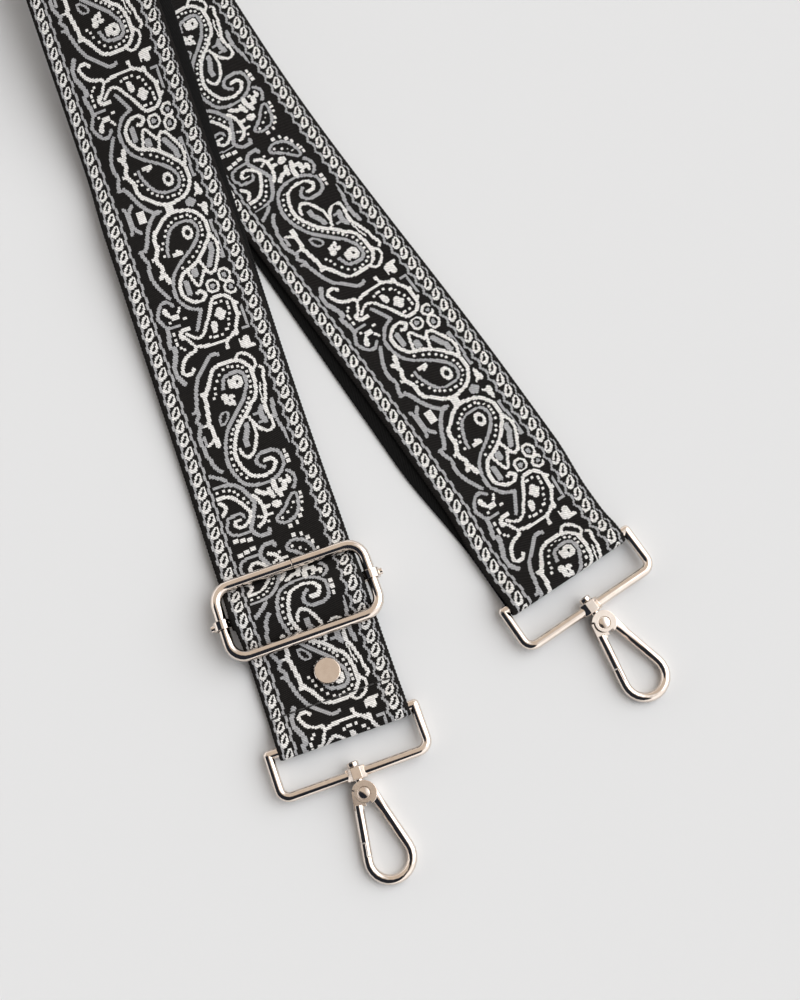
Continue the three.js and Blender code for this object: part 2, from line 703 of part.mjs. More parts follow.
clasp("a", lay, hookTurnADegrees);
const claspBGroup = new THREE.Group();
claspBGroup.position.y = -rightLegLength;
rightLeg.add(claspBGroup);
const claspBFold = webbingAlong(claspFoldProfile(claspFoldLength, claspFoldLength));
place("webbing_clasp_b_end", claspBFold, webbingMaterial, claspBGroup);
clasp("b", claspBGroup, hookTurnBDegrees);

// Slider and stud
const sliderGroup = new THREE.Group();
sliderGroup.position.set(0, sliderPlace, sliderPlaneHeight);
lay.add(sliderGroup);
place("slider_frame", sliderFrame(), nickelMaterial, sliderGroup);
place("slider_bar", sliderBar(), nickelMaterial, sliderGroup);
const rivetGroup = new THREE.Group();
rivetGroup.position.set(rivetX, rivetY, 0);
lay.add(rivetGroup);
place("rivet_cap", rivetCap(), nickelMaterial, rivetGroup);
place("rivet_back", rivetBack(), nickelMaterial, rivetGroup);

// The origin is the middle of the laid strap's outline, on the table
strap.updateMatrixWorld(true);
const extent = new THREE.Box3().setFromObject(strap, true);
const middle = extent.getCenter(new THREE.Vector3());
lay.position.set(-middle.x, -middle.y, -extent.min.z);

export default strap;
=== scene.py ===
"""A wide bag strap on a pale table: one jacquard webbing doubled through a slider, a hook on each end."""
import math

import bmesh
import bpy
import numpy as np
from mathutils import Matrix, Vector


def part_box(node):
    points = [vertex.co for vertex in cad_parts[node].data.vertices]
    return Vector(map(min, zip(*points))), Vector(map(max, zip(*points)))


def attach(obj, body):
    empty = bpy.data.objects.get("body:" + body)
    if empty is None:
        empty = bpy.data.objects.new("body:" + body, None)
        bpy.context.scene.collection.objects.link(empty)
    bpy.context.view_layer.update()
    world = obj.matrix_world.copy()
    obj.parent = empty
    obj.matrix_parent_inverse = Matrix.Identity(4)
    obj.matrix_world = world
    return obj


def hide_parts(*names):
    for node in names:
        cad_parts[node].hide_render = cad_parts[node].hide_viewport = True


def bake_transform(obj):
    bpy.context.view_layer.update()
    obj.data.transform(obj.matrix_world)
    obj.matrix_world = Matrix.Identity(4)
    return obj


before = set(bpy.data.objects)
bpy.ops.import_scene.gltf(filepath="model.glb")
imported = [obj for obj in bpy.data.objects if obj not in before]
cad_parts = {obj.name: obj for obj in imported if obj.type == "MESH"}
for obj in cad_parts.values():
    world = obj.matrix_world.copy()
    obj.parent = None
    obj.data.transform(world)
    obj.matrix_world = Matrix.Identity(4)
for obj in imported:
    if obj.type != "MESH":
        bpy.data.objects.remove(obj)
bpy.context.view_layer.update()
mm = 0.001

# Camera
# It stands over the foot of the left leg, leans 14 degrees from straight down, and is turned so that the
# leg runs up to the left, as in the photograph. Its places, and those of the webbing, are measured from
# lay, the end of the left leg on the table.
slider_place = 51 * mm
washer_lift = 0.2 * mm
slider_middle = (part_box("slider_frame")[0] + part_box("slider_frame")[1]) / 2
lay = Vector((slider_middle.x, slider_middle.y - slider_place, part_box("rivet_back")[0].z - washer_lift))


def add_object(name, data):
    piece = bpy.data.objects.new(name, data)
    bpy.context.scene.collection.objects.link(piece)
    return piece


camera_place = Vector((5.8, -41.2, 494)) * mm
camera_aim = Vector((46.85, 74.8, 0)) * mm
picture_up = Vector((0.3338, 0.9426, 0))
forward = (camera_aim - camera_place).normalized()
sideways = forward.cross(picture_up).normalized()
upward = sideways.cross(forward)
turn = Matrix((sideways, upward, -forward)).transposed().to_4x4()
camera = add_object("camera", bpy.data.cameras.new("camera"))
camera.matrix_world = Matrix.Translation(camera_place + lay) @ turn
camera.data.sensor_fit = "VERTICAL"
camera.data.sensor_height = 36
camera.data.sensor_width = 28.8
camera.data.lens = 50.4
camera.data.clip_start = 1 * mm
bpy.context.scene.camera = camera

# Jacquard figure
# A paisley band, mirrored along the strap, lies between borders of chain links, white and grey on black.
# It is drawn in millimetres, (across, along), as it lies on the left leg, and woven in square cells, with
# its strokes a little slimmer than drawn.
cell = 0.5
columns = 98
half_repeat_rows = 266
swirl_mirror = 76.1
slimmer = 0.2
ring_core = 0.42
white, grey, ground, reverse = 1.0, 0.5, 0.0, -1.0

white_lines = [
    # Outline of the upper paisley, from its left foot over the head and round into the curl
    (1.8, [(-6.9, 181.2), (-7.2, 183.7), (-8.3, 185.3), (-7.7, 187.6), (-8.6, 189.8), (-8.8, 191.7),
        (-7.8, 193.7), (-7, 195.9), (-7.3, 198.1), (-6.8, 200.1), (-6.3, 201.6)]),
    (1.6, [(-6.2, 201.4), (-4.4, 202.9), (-2.8, 204.8), (-0.6, 206.2), (1.7, 207.2), (3.9, 207.3),
        (6.1, 206.8), (8.3, 206.3), (10.3, 205), (11.7, 203.3), (12.8, 201.3), (13.2, 199.2), (13.1, 197.3),
        (13, 195.3), (12.2, 193.4), (10.8, 191.7), (9.4, 189.8), (7.8, 188.1), (6.1, 186.4), (3.9, 184.9),
        (1.7, 184), (-0.6, 183), (-2.2, 181.4), (-3.3, 179.2), (-3.9, 177), (-3.6, 174.7), (-2.2, 172.4),
        (0, 170.9), (2.2, 170.6), (3.9, 171.6), (4.2, 173), (3, 174.4), (1.7, 173.9)]),
    (1.6, [(1, 208.2), (3, 208.3)]),
    (1.3, [(-10.2, 191.3), (-8.8, 191.9)]),
    (1.9, [(-9.4, 184), (-7.6, 184.6)]),
    # Leaf beside it and the first petal
    (1.4, [(13.1, 195.3), (13.9, 193.1), (14.7, 190.9), (14.4, 188.1), (13.3, 185.3), (11.9, 182.6),
        (10.5, 180.4), (8.9, 179.9), (7.8, 180.9), (7.2, 183.1), (6.4, 185.4)]),
    (1.3, [(1.1, 184.2), (1.2, 181.5), (1.9, 178.8), (3, 176.7), (4.3, 177.6), (5.6, 179.8), (6.8, 181.8)]),
    # Small horned paisley
    (1.4, [(10.6, 170.2), (7.8, 170.4), (6.1, 169.9), (4.4, 166.9), (2.8, 163.8), (1.1, 161.3),
        (-0.3, 159.1), (-1.4, 157.8), (-3.1, 157.2), (-4.7, 157.8), (-6.1, 159.1), (-7, 160.2)]),
    (1.5, [(10.4, 170.2), (12.2, 168.8), (13.2, 166.6), (13.2, 164.4), (13.3, 162.2), (12.8, 160.2),
        (11.9, 158.3), (11.1, 156.6), (10.6, 154.1)]),
    (1.2, [(13.2, 166.8), (14.7, 165.4)]),
    (1.2, [(13.4, 163.2), (14.1, 161)]),
    (1.5, [(10.6, 155.6), (8.3, 153.9), (6.1, 153.1), (2.8, 153.1), (0, 153.2), (-2.8, 153.6), (-5, 154.1),
        (-6.1, 152.8), (-8.3, 152.2), (-10.3, 151.2), (-11.4, 149.7), (-12.5, 147.4), (-12.5, 145.6),
        (-11.1, 144.8), (-9.7, 144.9), (-8.7, 146.3)]),
    (1.3, [(-5.2, 154.2), (-6.4, 156.2), (-7.4, 158), (-8.4, 159.4)]),
    (1.8, [(-5.8, 161.8), (-8, 161.8), (-9.3, 160.4), (-8.9, 158.9)]),
    (1.5, [(6.2, 152.6), (5.7, 150)]),
    (2.6, [(7.3, 164.8), (7.2, 162.4)]),
    (1.8, [(5.9, 163.6), (8.6, 163.6)]),
    (2.4, [(3.9, 160.5), (3.4, 158.2)]),
    # Sprig on its left
    (2, [(-12, 171), (-11.6, 169.6)]),
    (1.2, [(-11.4, 169.2), (-10.4, 168.2)]),
    (1.3, [(-7.3, 169.3), (-6.4, 170.6)]),
    # Outline of the large paisley, its head and the long curl at its foot
    (1.8, [(-4.7, 139.7), (-5.8, 137.8), (-7.2, 136.1), (-8.1, 134.4), (-8.3, 132.2), (-8.9, 128.9),
        (-9.2, 126.1), (-9.7, 124.2), (-9.2, 121.7), (-9.2, 118.9), (-9, 116)]),
    (1.6, [(-4.7, 139.7), (-3.6, 141.7), (-2.2, 143.6), (0, 144.6), (2.8, 145), (5.6, 144.7), (8.3, 143.9),
        (10, 142.2), (11.3, 139.7), (11.4, 137.2), (11.1, 134.4), (10.6, 131.7), (9.4, 128.9), (7.2, 126.9),
        (5.3, 124.7), (3.3, 122.8), (1.1, 121.1), (-1.1, 118.3), (-2.5, 115.6), (-3.6, 112.8), (-4.4, 110),
        (-3.9, 107), (-3.1, 104.2), (-1.7, 101.7), (0.3, 100.1), (2.8, 99.5), (5.3, 99.7), (7.2, 100.6),
        (8.6, 102.6), (8.2, 104.2), (6.6, 105.1), (5.3, 104.6)]),
    (1.3, [(-7.4, 136.2), (-9.2, 135.8)]),
    (1.3, [(-9.6, 124.2), (-11.4, 123.9)]),
    (1.3, [(-9.2, 118.6), (-12.3, 116.4)]),
    (2.4, [(-9.2, 118), (-9, 115.9)]),
    (1.3, [(6.9, 145.2), (8.1, 146.3), (9.4, 146.7), (10.8, 146), (12.2, 144.7), (13.3, 143), (13.6, 141.1),
        (12.5, 139.5), (11.6, 138.4)]),
    (1.4, [(14.7, 139.4), (15.6, 138.1), (14.7, 135.6), (14.4, 132.8), (13.6, 130), (12.8, 127.2),
        (11.8, 125), (11.7, 122.8), (12.2, 120), (12.5, 117.2), (11.9, 115.7), (10, 115.1), (8.3, 116.1),
        (6.7, 117.8), (5.6, 120), (4.8, 122.2)]),
    (0.8, [(12.9, 133.4), (12, 131), (11.6, 128), (11.2, 126)]),
    (1.4, [(5.6, 118.5), (5.3, 115), (4.2, 112), (2.6, 109.3), (0.4, 107.8), (-1.3, 109), (-2.1, 111.4)]),
    (2, [(2.3, 137.5), (2.6, 135.4)]),
    (2.4, [(-1.3, 132.6), (-1, 130.6)]),
    (1.5, [(-0.4, 131.6), (1.8, 131.8)]),
    (1.5, [(-0.4, 129.6), (1.6, 128.8)]),
    (1.3, [(0.9, 131), (1.4, 129.4)]),
    # Curled paisley at the left edge, with its crescent
    (1.5, [(-16.6, 96.2), (-12.8, 96.3), (-10.3, 95.1), (-8.3, 92.8), (-6.9, 90.3), (-5.8, 88.1),
        (-6.4, 85.9), (-8.1, 83.9), (-10.3, 83.1), (-12, 84.1), (-11.9, 85.9), (-10.2, 86.2)]),
    (1.6, [(-16.7, 94.8), (-14.7, 94.2), (-13.7, 92.3), (-14.7, 90.6), (-16.1, 89.6)]),
    # Flower below the large curl
    (1.6, [(-3, 93.2), (-1.6, 91.5), (-0.9, 88.5), (-0.8, 85.5), (-2, 82.9), (-4.2, 81.5)]),
    (1.1, [(-3.8, 85.2), (-2.2, 84.6)]),
    (1.3, [(-0.6, 87.8), (1.6, 87.9)]),
    (1.2, [(-0.6, 84.6), (1.8, 84.6)]),
    (1.9, [(-1, 94.6), (1.2, 93), (3.4, 92.6)]),
    (1.8, [(3.2, 94), (4, 90.9)]),
    (1.9, [(5.6, 96.2), (5.6, 93.4), (6.8, 90.3)]),
    (1.7, [(6.2, 92.4), (8.6, 92.2), (9.4, 93.8)]),
    (1.5, [(8.4, 93.9), (9.8, 95), (11.2, 94.4), (11, 96.6)]),
    (3, [(3.9, 87.7), (4.6, 87.6)]),
]

grey_lines = [
    # Companion line of the upper paisley and its tail
    (1.4, [(-4, 191.3), (-3.8, 193.5), (-2.6, 197), (-1, 200), (1.5, 202), (5, 202.6), (7.7, 202),
        (9.1, 200.3), (9.4, 197.5), (8.2, 194.7), (6, 192.3), (3, 190), (0, 187.8), (-3, 185.2),
        (-5, 182.3), (-6, 179), (-6.3, 176), (-5.9, 173.6), (-4.7, 171.5), (-3, 169.3), (-1, 168.2),
        (0.9, 167.5)]),
    (1.5, [(0.8, 167.4), (-0.4, 164.9), (-1.6, 162.3), (-2.7, 160.4)]),
    # Outer grey line on its left, with the leaf tip
    (1.9, [(-1.5, 209.3), (-4.4, 208.8)]),
    (1.7, [(-4.6, 208.4), (-7, 205.6), (-8.5, 203), (-9.6, 200), (-10.7, 197.4), (-11.6, 196)]),
    (1.6, [(-13.6, 195.9), (-12.9, 193.2), (-12, 190.6), (-12.7, 187.6), (-12.7, 185), (-12, 182),
        (-11, 179.5), (-9.7, 177), (-8.8, 175.4)]),
    (1.3, [(-11.4, 196.2), (-13.9, 195.9)]),
    (1.9, [(-13.4, 209.3), (-13.6, 206)]),
    (1.5, [(-13.5, 206), (-14.5, 203.6)]),
    (1.6, [(-13.2, 206), (-12, 204.4), (-11.1, 203.2)]),
    # Fillings of leaf and petals, and the fringe on the right
    (2.2, [(12.3, 190.8), (11.8, 188), (10.3, 185), (9.2, 183)]),
    (2.6, [(3.4, 182.7), (3.3, 181.1)]),
    (2.2, [(-1.2, 179.3), (-1.2, 176), (-0.9, 174.8)]),
    (1.3, [(15.3, 199.8), (14.8, 197), (15.6, 194.5), (15.9, 191.2)]),
    (2.2, [(16.4, 189.6), (16.2, 187.5), (15.2, 184.9)]),
    (2, [(15.8, 163.6), (15.8, 159.5), (16.2, 156.4)]),
    (1.2, [(13.3, 155.6), (16.5, 155.4)]),
    # Hooked line on the left of the small paisley
    (1.5, [(-8.6, 172.2), (-9.4, 173.6), (-10.8, 174.4), (-12.5, 174), (-13.6, 172.7), (-14.5, 171.1),
        (-15.3, 168.8), (-14.5, 167.2), (-13.6, 165.2), (-11.7, 164.1), (-8.8, 164.1)]),
    (1.8, [(-13.1, 164.1), (-13.3, 161.9), (-13.9, 159.7), (-14.3, 157)]),
    (2, [(-13.1, 156.2), (-13.2, 154.1), (-14.2, 151.3), (-15.3, 148.6), (-15.5, 146.3), (-14.5, 144.1),
        (-13.5, 141.9)]),
    # Stepped line on the left of the large paisley
    (1.6, [(1.5, 149), (-1.2, 149.3), (-3.4, 147.6), (-5.2, 145.8), (-7, 144), (-8.3, 142.6), (-9.2, 140.6),
        (-10, 138.9), (-10.8, 136.7), (-11.7, 133.3), (-12.4, 131), (-12.4, 129), (-13.6, 126.7),
        (-13, 125), (-13.8, 122.8), (-14.7, 120.6), (-14.7, 118.3), (-14.2, 115.6), (-14.2, 113.1),
        (-13.3, 111.2), (-13.1, 109.2), (-12.2, 107.3), (-10.9, 105.9)]),
    (1.4, [(-12, 130.4), (-13.9, 130.2)]),
    (1.3, [(-12.6, 124.9), (-11.6, 123.9)]),
    (1.4, [(-13.2, 120), (-13, 117)]),
    # Companion line of the large paisley, round its foot and into the open curl
    (1.5, [(-0.8, 135.6), (0, 137.8), (1.1, 139.6), (3.9, 140.3), (6.1, 140.3), (7.8, 139), (8.2, 136.7),
        (7.8, 134.4), (6.7, 132.2), (5, 129.4), (2.8, 127.2), (0.6, 125), (-1.7, 122.8), (-3.6, 120.6),
        (-5.3, 117.8), (-6.4, 115), (-7.2, 112.2), (-7.6, 110.2), (-7.8, 108.1), (-7.5, 105.9),
        (-6.7, 103.1), (-5.8, 100.9), (-4.4, 98.7), (-1.7, 97.3), (1.7, 96.6), (5, 96.7), (7.8, 97.8),
        (9.7, 99.2), (11.3, 101.4), (11.6, 104.2), (10.6, 106.7), (8.3, 107.8), (5, 107.8), (3.3, 107),
        (2.2, 105.3), (2.8, 103.7), (4.3, 102.4)]),
    (1.1, [(-5.8, 122.7), (-5.5, 124.6), (-4.3, 126.5), (-2.5, 126.8), (-2.1, 125.4), (-3, 123.9),
        (-4.2, 122.8), (-5.8, 122.7)]),
    (2.2, [(10.4, 124.4), (9.4, 122.8), (9.6, 120.8), (10.2, 119)]),
    (1.2, [(9.2, 122.8), (7, 122.7)]),
    (1.2, [(9.8, 119.3), (8, 119)]),
    (2.2, [(3.1, 119.8), (2.6, 117.5), (1.3, 115), (1, 112.4)]),
    (1.9, [(14.9, 125.6), (14.3, 122.5), (14, 119.5)]),
    (1.5, [(14.3, 118), (15, 115), (15.6, 112.5), (16, 109.5), (16.9, 107.4)]),
    # Lines that lead to the curled paisley at the left edge
    (1.5, [(-16.8, 106.2), (-14.5, 104.8), (-12.2, 103.4), (-10.4, 101.9)]),
    (1.1, [(-16.5, 100.6), (-12, 100.5)]),
    (1.7, [(-11.4, 100.4), (-8.9, 99.8), (-6.7, 98.1), (-5.3, 95.9), (-3.9, 93.1), (-3.4, 90.9),
        (-4.2, 88.4), (-5.6, 85.3), (-6.7, 83.1), (-7.4, 81.2), (-6.4, 79.4), (-5.4, 78.2), (-3.3, 78),
        (-1.6, 78), (-1.2, 79.2)]),
    (1.3, [(-8.4, 86.8), (-9.2, 88.3), (-11.7, 88.4), (-13.9, 88), (-14.8, 86.4), (-15.5, 84.2),
        (-14.7, 81.8), (-12.2, 80.7), (-8.6, 80.6)]),
    (1.5, [(11.4, 98.7), (12.8, 97.3), (13.6, 95.3), (12.9, 93.1), (11.8, 91.8)]),
    (1.4, [(10.6, 89.6), (8.9, 88.1), (7.2, 85.9), (5, 83.9), (3.1, 82.6), (2.6, 80.9), (4.4, 79.8),
        (6.9, 79.8), (9.4, 80.9), (11, 83.1), (11.8, 85.9), (11.8, 89.4), (10.6, 89.6)]),
]

# Small woven squares: (side, places)
white_squares = [
    (1.2, [(-5.4, 191.7), (-5.3, 194.7), (-4.3, 196.8), (-3.2, 198.9), (-2.1, 201.2), (-0.7, 202.8),
        (0.9, 203.6), (3.2, 204.4), (7.3, 204.5), (8.7, 203.7), (10.1, 202.3), (11, 200.2), (11.1, 198.6),
        (11, 197), (10.3, 195.1), (8.9, 192.6), (7.9, 191), (6.3, 189.5), (4.3, 188.1), (2.6, 186.6),
        (-0.6, 184.9)]),
    (1.5, [(5.2, 204.6), (-0.4, 192.1), (0.2, 191.4)]),
    (1.3, [(-11.5, 161.3), (-11.5, 159.2), (-11.5, 157.3), (-10.7, 155.4), (-9.3, 154.7), (-5.7, 166.2),
        (-11.7, 166.2), (6.8, 168), (9, 168.1), (10.8, 166.8), (10.8, 164.8), (10.6, 162.6), (9.7, 160.5),
        (8.8, 158.4), (7.7, 156.9), (5.6, 155.5), (3.6, 155.5), (2.6, 155.5), (0.9, 156.1)]),
    (1.2, [(-4.9, 132.9), (-4.2, 134.8), (-3.4, 136.8), (-2.2, 139), (-0.7, 141), (1.5, 142.7),
        (3.3, 143.2), (5.2, 142.7), (7.1, 142.1), (8.6, 141.2), (9.7, 139.3), (9.7, 137.3), (9.4, 135.1),
        (9.2, 133.1), (8.3, 131.1), (7.1, 128.9), (6.1, 127.5), (4.9, 126.3), (3.4, 124.9), (1.8, 123.5),
        (0.7, 122.1), (-0.7, 120.8), (-1.9, 119.4), (-3.1, 117.9), (-4, 115.9), (-4.9, 113.8),
        (-5.6, 111.8), (-5.8, 109.2), (-5.8, 106.7), (-5.4, 104.8), (-4.7, 102.8), (-3.2, 100.7)]),
    (1.5, [(13.1, 105.9), (13.3, 103.8), (13.3, 101.7), (13.4, 88.8), (13.3, 87), (13.1, 85.1),
        (12.1, 82.3), (10.7, 80.3), (9, 78.4), (6.3, 77.8), (-0.6, 82), (8.3, 95.8)]),
    (1.2, [(-15, 98.5), (-12.7, 98.5), (-10.7, 98), (-9, 97.2), (-7.8, 95.8), (-6.7, 93.8), (-5.7, 91.7)]),
    (1, [(4.6, 81.7), (7.1, 83.1), (8.8, 84.4), (9.9, 86.2)]),
    (2, [(-13.9, 78.9), (-11.4, 78.4), (-8.9, 77.9)]),
]

# Filled shapes by their corners, and rings: (across, along, half width, half length, line, core)
white_shapes = [
    [(-10.6, 206.5), (-7.5, 206.5), (-7.5, 209.4), (-10.6, 209.4)],
    [(12.1, 207.9), (13.8, 206.9), (15.4, 207.9), (16.3, 206.2), (15.4, 204), (15, 201.9), (14, 203),
        (13.4, 205.6)],
    [(-2.3, 190.2), (1.3, 190.2), (1.3, 191.8), (-2.3, 191.5)],
    [(10.6, 152.7), (11.4, 150.8), (12.8, 152.7), (13.6, 152.9), (14.6, 151.9), (14.6, 149.3),
        (15.8, 148.7), (15.8, 147.5), (12.2, 147.6), (10.6, 148.8)],
    [(-10.8, 168.8), (-7.4, 168.8), (-7.4, 166.4), (-10.4, 166.4)],
]
rings = [
    (5.5, 197.8, 1.4, 2.1, 1.4, ground),
    (13.4, 177.7, 2, 2.5, 1, grey),
    (7.9, 174.8, 2.1, 2.4, 1, grey),
    (14.2, 172.4, 2.2, 2.3, 1, grey),
    (4.9, 136.5, 1.4, 1.7, 1.7, ground),
]
grey_discs = [(10.3, 209.4, 2.1)]

# Borders, in millimetres: where each chain runs, its links' half width and half length, how far they
# lean and how much narrower their tip is. Each link has an eye with a tail, shaped like a comma. The waves
# are (place, swing towards +across at a link's middle, width).
chain_pitch = 5.32
chain_first = 84.36
chain_places = (-20.0, 20.4)
link_half_width, link_half_length, link_lean, link_taper = 1.6, 2.45, 0.32, 0.16
eye_aside, eye_lean, eye_half_width, eye_lift, eye_half_length = 0.05, 0.42, 0.5, 0.25, 1.4
tail_aside, tail_half_width, tail_drop, tail_half_length = 0.5, 0.7, 0.6, 0.45
waves = [(-22.3, -0.3, 0.7), (-17.2, -0.35, 0.9), (17.65, 0.5, 0.95), (22.85, 0.45, 0.6)]
border_start = 16.2


def along_curve(points, steps=6):
    """Points of a Catmull-Rom curve: between two points, each neighbour pulls the line its own way."""
    given = np.array(points, float)
    ends = np.vstack([2 * given[0] - given[1], given, 2 * given[-1] - given[-2]])
    t = np.linspace(0, 1, steps, endpoint=False)[:, None, None]
    p0, p1, p2, p3 = ends[:-3], ends[1:-2], ends[2:-1], ends[3:]
    curve = p1 + t * (p2 - p0) / 2
    curve += t**2 * (p0 - 2.5 * p1 + 2 * p2 - p3 / 2)
    curve += t**3 * (-p0 + 3 * p1 - 3 * p2 + p3) / 2
    return np.vstack([curve.transpose(1, 0, 2).reshape(-1, 2), given[-1:]])


def distance_to_line(across, along, points):
    """Distance of every cell to a line of points: the least over its straight pieces."""
    least = np.full(across.shape, np.inf)
    for start, end in zip(points[:-1], points[1:]):
        reach = end - start
        share = (across - start[0]) * reach[0] + (along - start[1]) * reach[1]
        share = np.clip(share / max(reach @ reach, 1e-9), 0, 1)
        off = np.hypot(across - start[0] - share * reach[0], along - start[1] - share * reach[1])
        least = np.minimum(least, off)
    return least


def inside_shape(across, along, corners):
    """True for the cells inside a shape: a ray from them crosses its outline an odd number of times."""
    inside = np.zeros(across.shape, bool)
    for (x0, y0), (x1, y1) in zip(corners, corners[1:] + corners[:1]):
        if y0 != y1:
            crossing = x0 + (along - y0) * (x1 - x0) / (y1 - y0)
            inside ^= ((y0 > along) != (y1 > along)) & (across < crossing)
    return inside


def cells_across():
    """The middle of each column of cells, from the left selvedge to the right one."""
    return (np.arange(columns) + 0.5 - columns / 2) * cell


def woven_band():
    """The paisley band over half a repeat, a value for each cell. Greys are laid first, whites over them."""
    rows_along = swirl_mirror + (np.arange(half_repeat_rows) + 0.5) * cell
    across, along = np.meshgrid(cells_across(), rows_along)
    figure = np.full(across.shape, ground)

    def stroke(width, points, yarn):
        reach = (width - slimmer) / 2
        figure[distance_to_line(across, along, along_curve(points)) < reach] = yarn

    for width, points in grey_lines:
        stroke(width, points, grey)
    for x, y, radius in grey_discs:
        figure[np.hypot(across - x, along - y) < radius] = grey
    for x, y, half_width, half_length, line, core in rings:
        from_middle = np.hypot((across - x) / half_width, (along - y) / half_length)
        edge = line / (half_width + half_length)
        figure[from_middle < 1 + edge] = white
        figure[from_middle < 1 - edge] = ground
        figure[from_middle < ring_core] = core
    for width, points in white_lines:
        stroke(width, points, white)
    for side, places in white_squares:
        for x, y in places:
            figure[np.maximum(abs(across - x), abs(along - y)) < (side - slimmer) / 2] = white
    for corners in white_shapes:
        figure[inside_shape(across, along, corners)] = white
    return figure


half_repeat = woven_band()
whole_repeat = np.vstack([half_repeat, half_repeat[::-1]])


def borders(across, along):
    """Both borders: waves, and over them at each pitch a leaning egg-shaped link with its eye."""
    phase = ((along - chain_first) / chain_pitch + 0.5) % 1 - 0.5
    height = phase * chain_pitch
    figure = np.full(np.broadcast(across, along).shape, ground)
    for place, swing, width in waves:
        figure[np.abs(across - place - swing * np.cos(2 * np.pi * phase)) < width / 2] = grey
    for place in chain_places:
        aside = across - place
        half_width = link_half_width * (1 - link_taper * height / link_half_length)
        link = np.hypot((aside - link_lean * height) / half_width, height / link_half_length) < 1
        eye = np.hypot((aside - eye_aside - eye_lean * height) / eye_half_width,
                       (height - eye_lift) / eye_half_length) < 1
        tail = np.hypot((aside + tail_aside) / tail_half_width, (height + tail_drop) / tail_half_length) < 1
        figure[link] = white
        figure[eye | tail] = ground
    return figure


def figure_at(along):
    """Cell values for rows of webbing at places along it. The band repeats mirrored, the borders run on."""
    row = np.floor((along - swirl_mirror) / cell).astype(int) % (2 * half_repeat_rows)
    across = cells_across()[None, :]
    return np.where(np.abs(across) > border_start, borders(across, along[:, None]), whole_repeat[row])


# Webbing material
# Black ground in a fine twill, with the figure in white and grey satin weft that lies a little proud of
# it. The back of the webbing is plain black.
satin_pitch = 0.52 * mm
twill_pitch = 0.44 * mm
yarn_colours = [
    (0, (0.006, 0.006, 0.006)),
    (0.3, (0.011, 0.010, 0.0095)),
    (0.65, (0.45, 0.45, 0.46)),
    (0.9, (0.88, 0.865, 0.84)),
]


def nodes_of(name):
    material = bpy.data.materials.new(name)
    material.use_nodes = True
    tree = material.node_tree
    return material, tree, tree.nodes["Principled BSDF"]


def math_node(tree, operation, *values):
    node = tree.nodes.new("ShaderNodeMath")
    node.operation = operation
    for socket, value in zip(node.inputs, values):
        if isinstance(value, (int, float)):
            socket.default_value = value
        else:
            tree.links.new(value, socket)
    return node.outputs[0]


def mix_colours(tree, blend, share, a, b):
    node = tree.nodes.new("ShaderNodeMix")
    node.data_type = "RGBA"
    node.blend_type = blend
    for socket, value in ((node.inputs[0], share), (node.inputs[6], a), (node.inputs[7], b)):
        if isinstance(value, bpy.types.NodeSocket):
            tree.links.new(value, socket)
        else:
            socket.default_value = value
    return node.outputs[2]


def set_inputs(node, values):
    for name, value in values.items():
        node.inputs[name].default_value = value


def noise_of(tree, vector, scale, detail=2):
    node = tree.nodes.new("ShaderNodeTexNoise")
    set_inputs(node, {"Scale": scale, "Detail": detail})
    tree.links.new(vector, node.inputs["Vector"])
    return node.outputs["Fac"]


def colour_ramp(tree, factor, stops, interpolation="LINEAR"):
    """A colour for each value of a factor, from stops of (position, colour)."""
    node = tree.nodes.new("ShaderNodeValToRGB")
    node.color_ramp.interpolation = interpolation
    elements = node.color_ramp.elements
    elements.remove(elements[1])
    elements[0].position = stops[0][0]
    elements[0].color = (*stops[0][1], 1)
    for position, colour in stops[1:]:
        elements.new(position).color = (*colour, 1)
    tree.links.new(factor, node.inputs["Fac"])
    return node.outputs["Color"]


def yarn_ribs(tree, vector, pitch):
    """Rounded slanting ribs, 0 between yarns and 1 on them."""
    wave = tree.nodes.new("ShaderNodeTexWave")
    wave.bands_direction = "DIAGONAL"
    scale = math.pi / (10 * pitch)
    set_inputs(wave, {"Scale": scale, "Distortion": 0.6, "Detail": 1, "Detail Scale": 2})
    tree.links.new(vector, wave.inputs["Vector"])
    return wave.outputs["Fac"]


def bump_of(tree, height, distance, strength):
    bump = tree.nodes.new("ShaderNodeBump")
    set_inputs(bump, {"Distance": distance, "Strength": strength})
    tree.links.new(height, bump.inputs["Height"])
    return bump


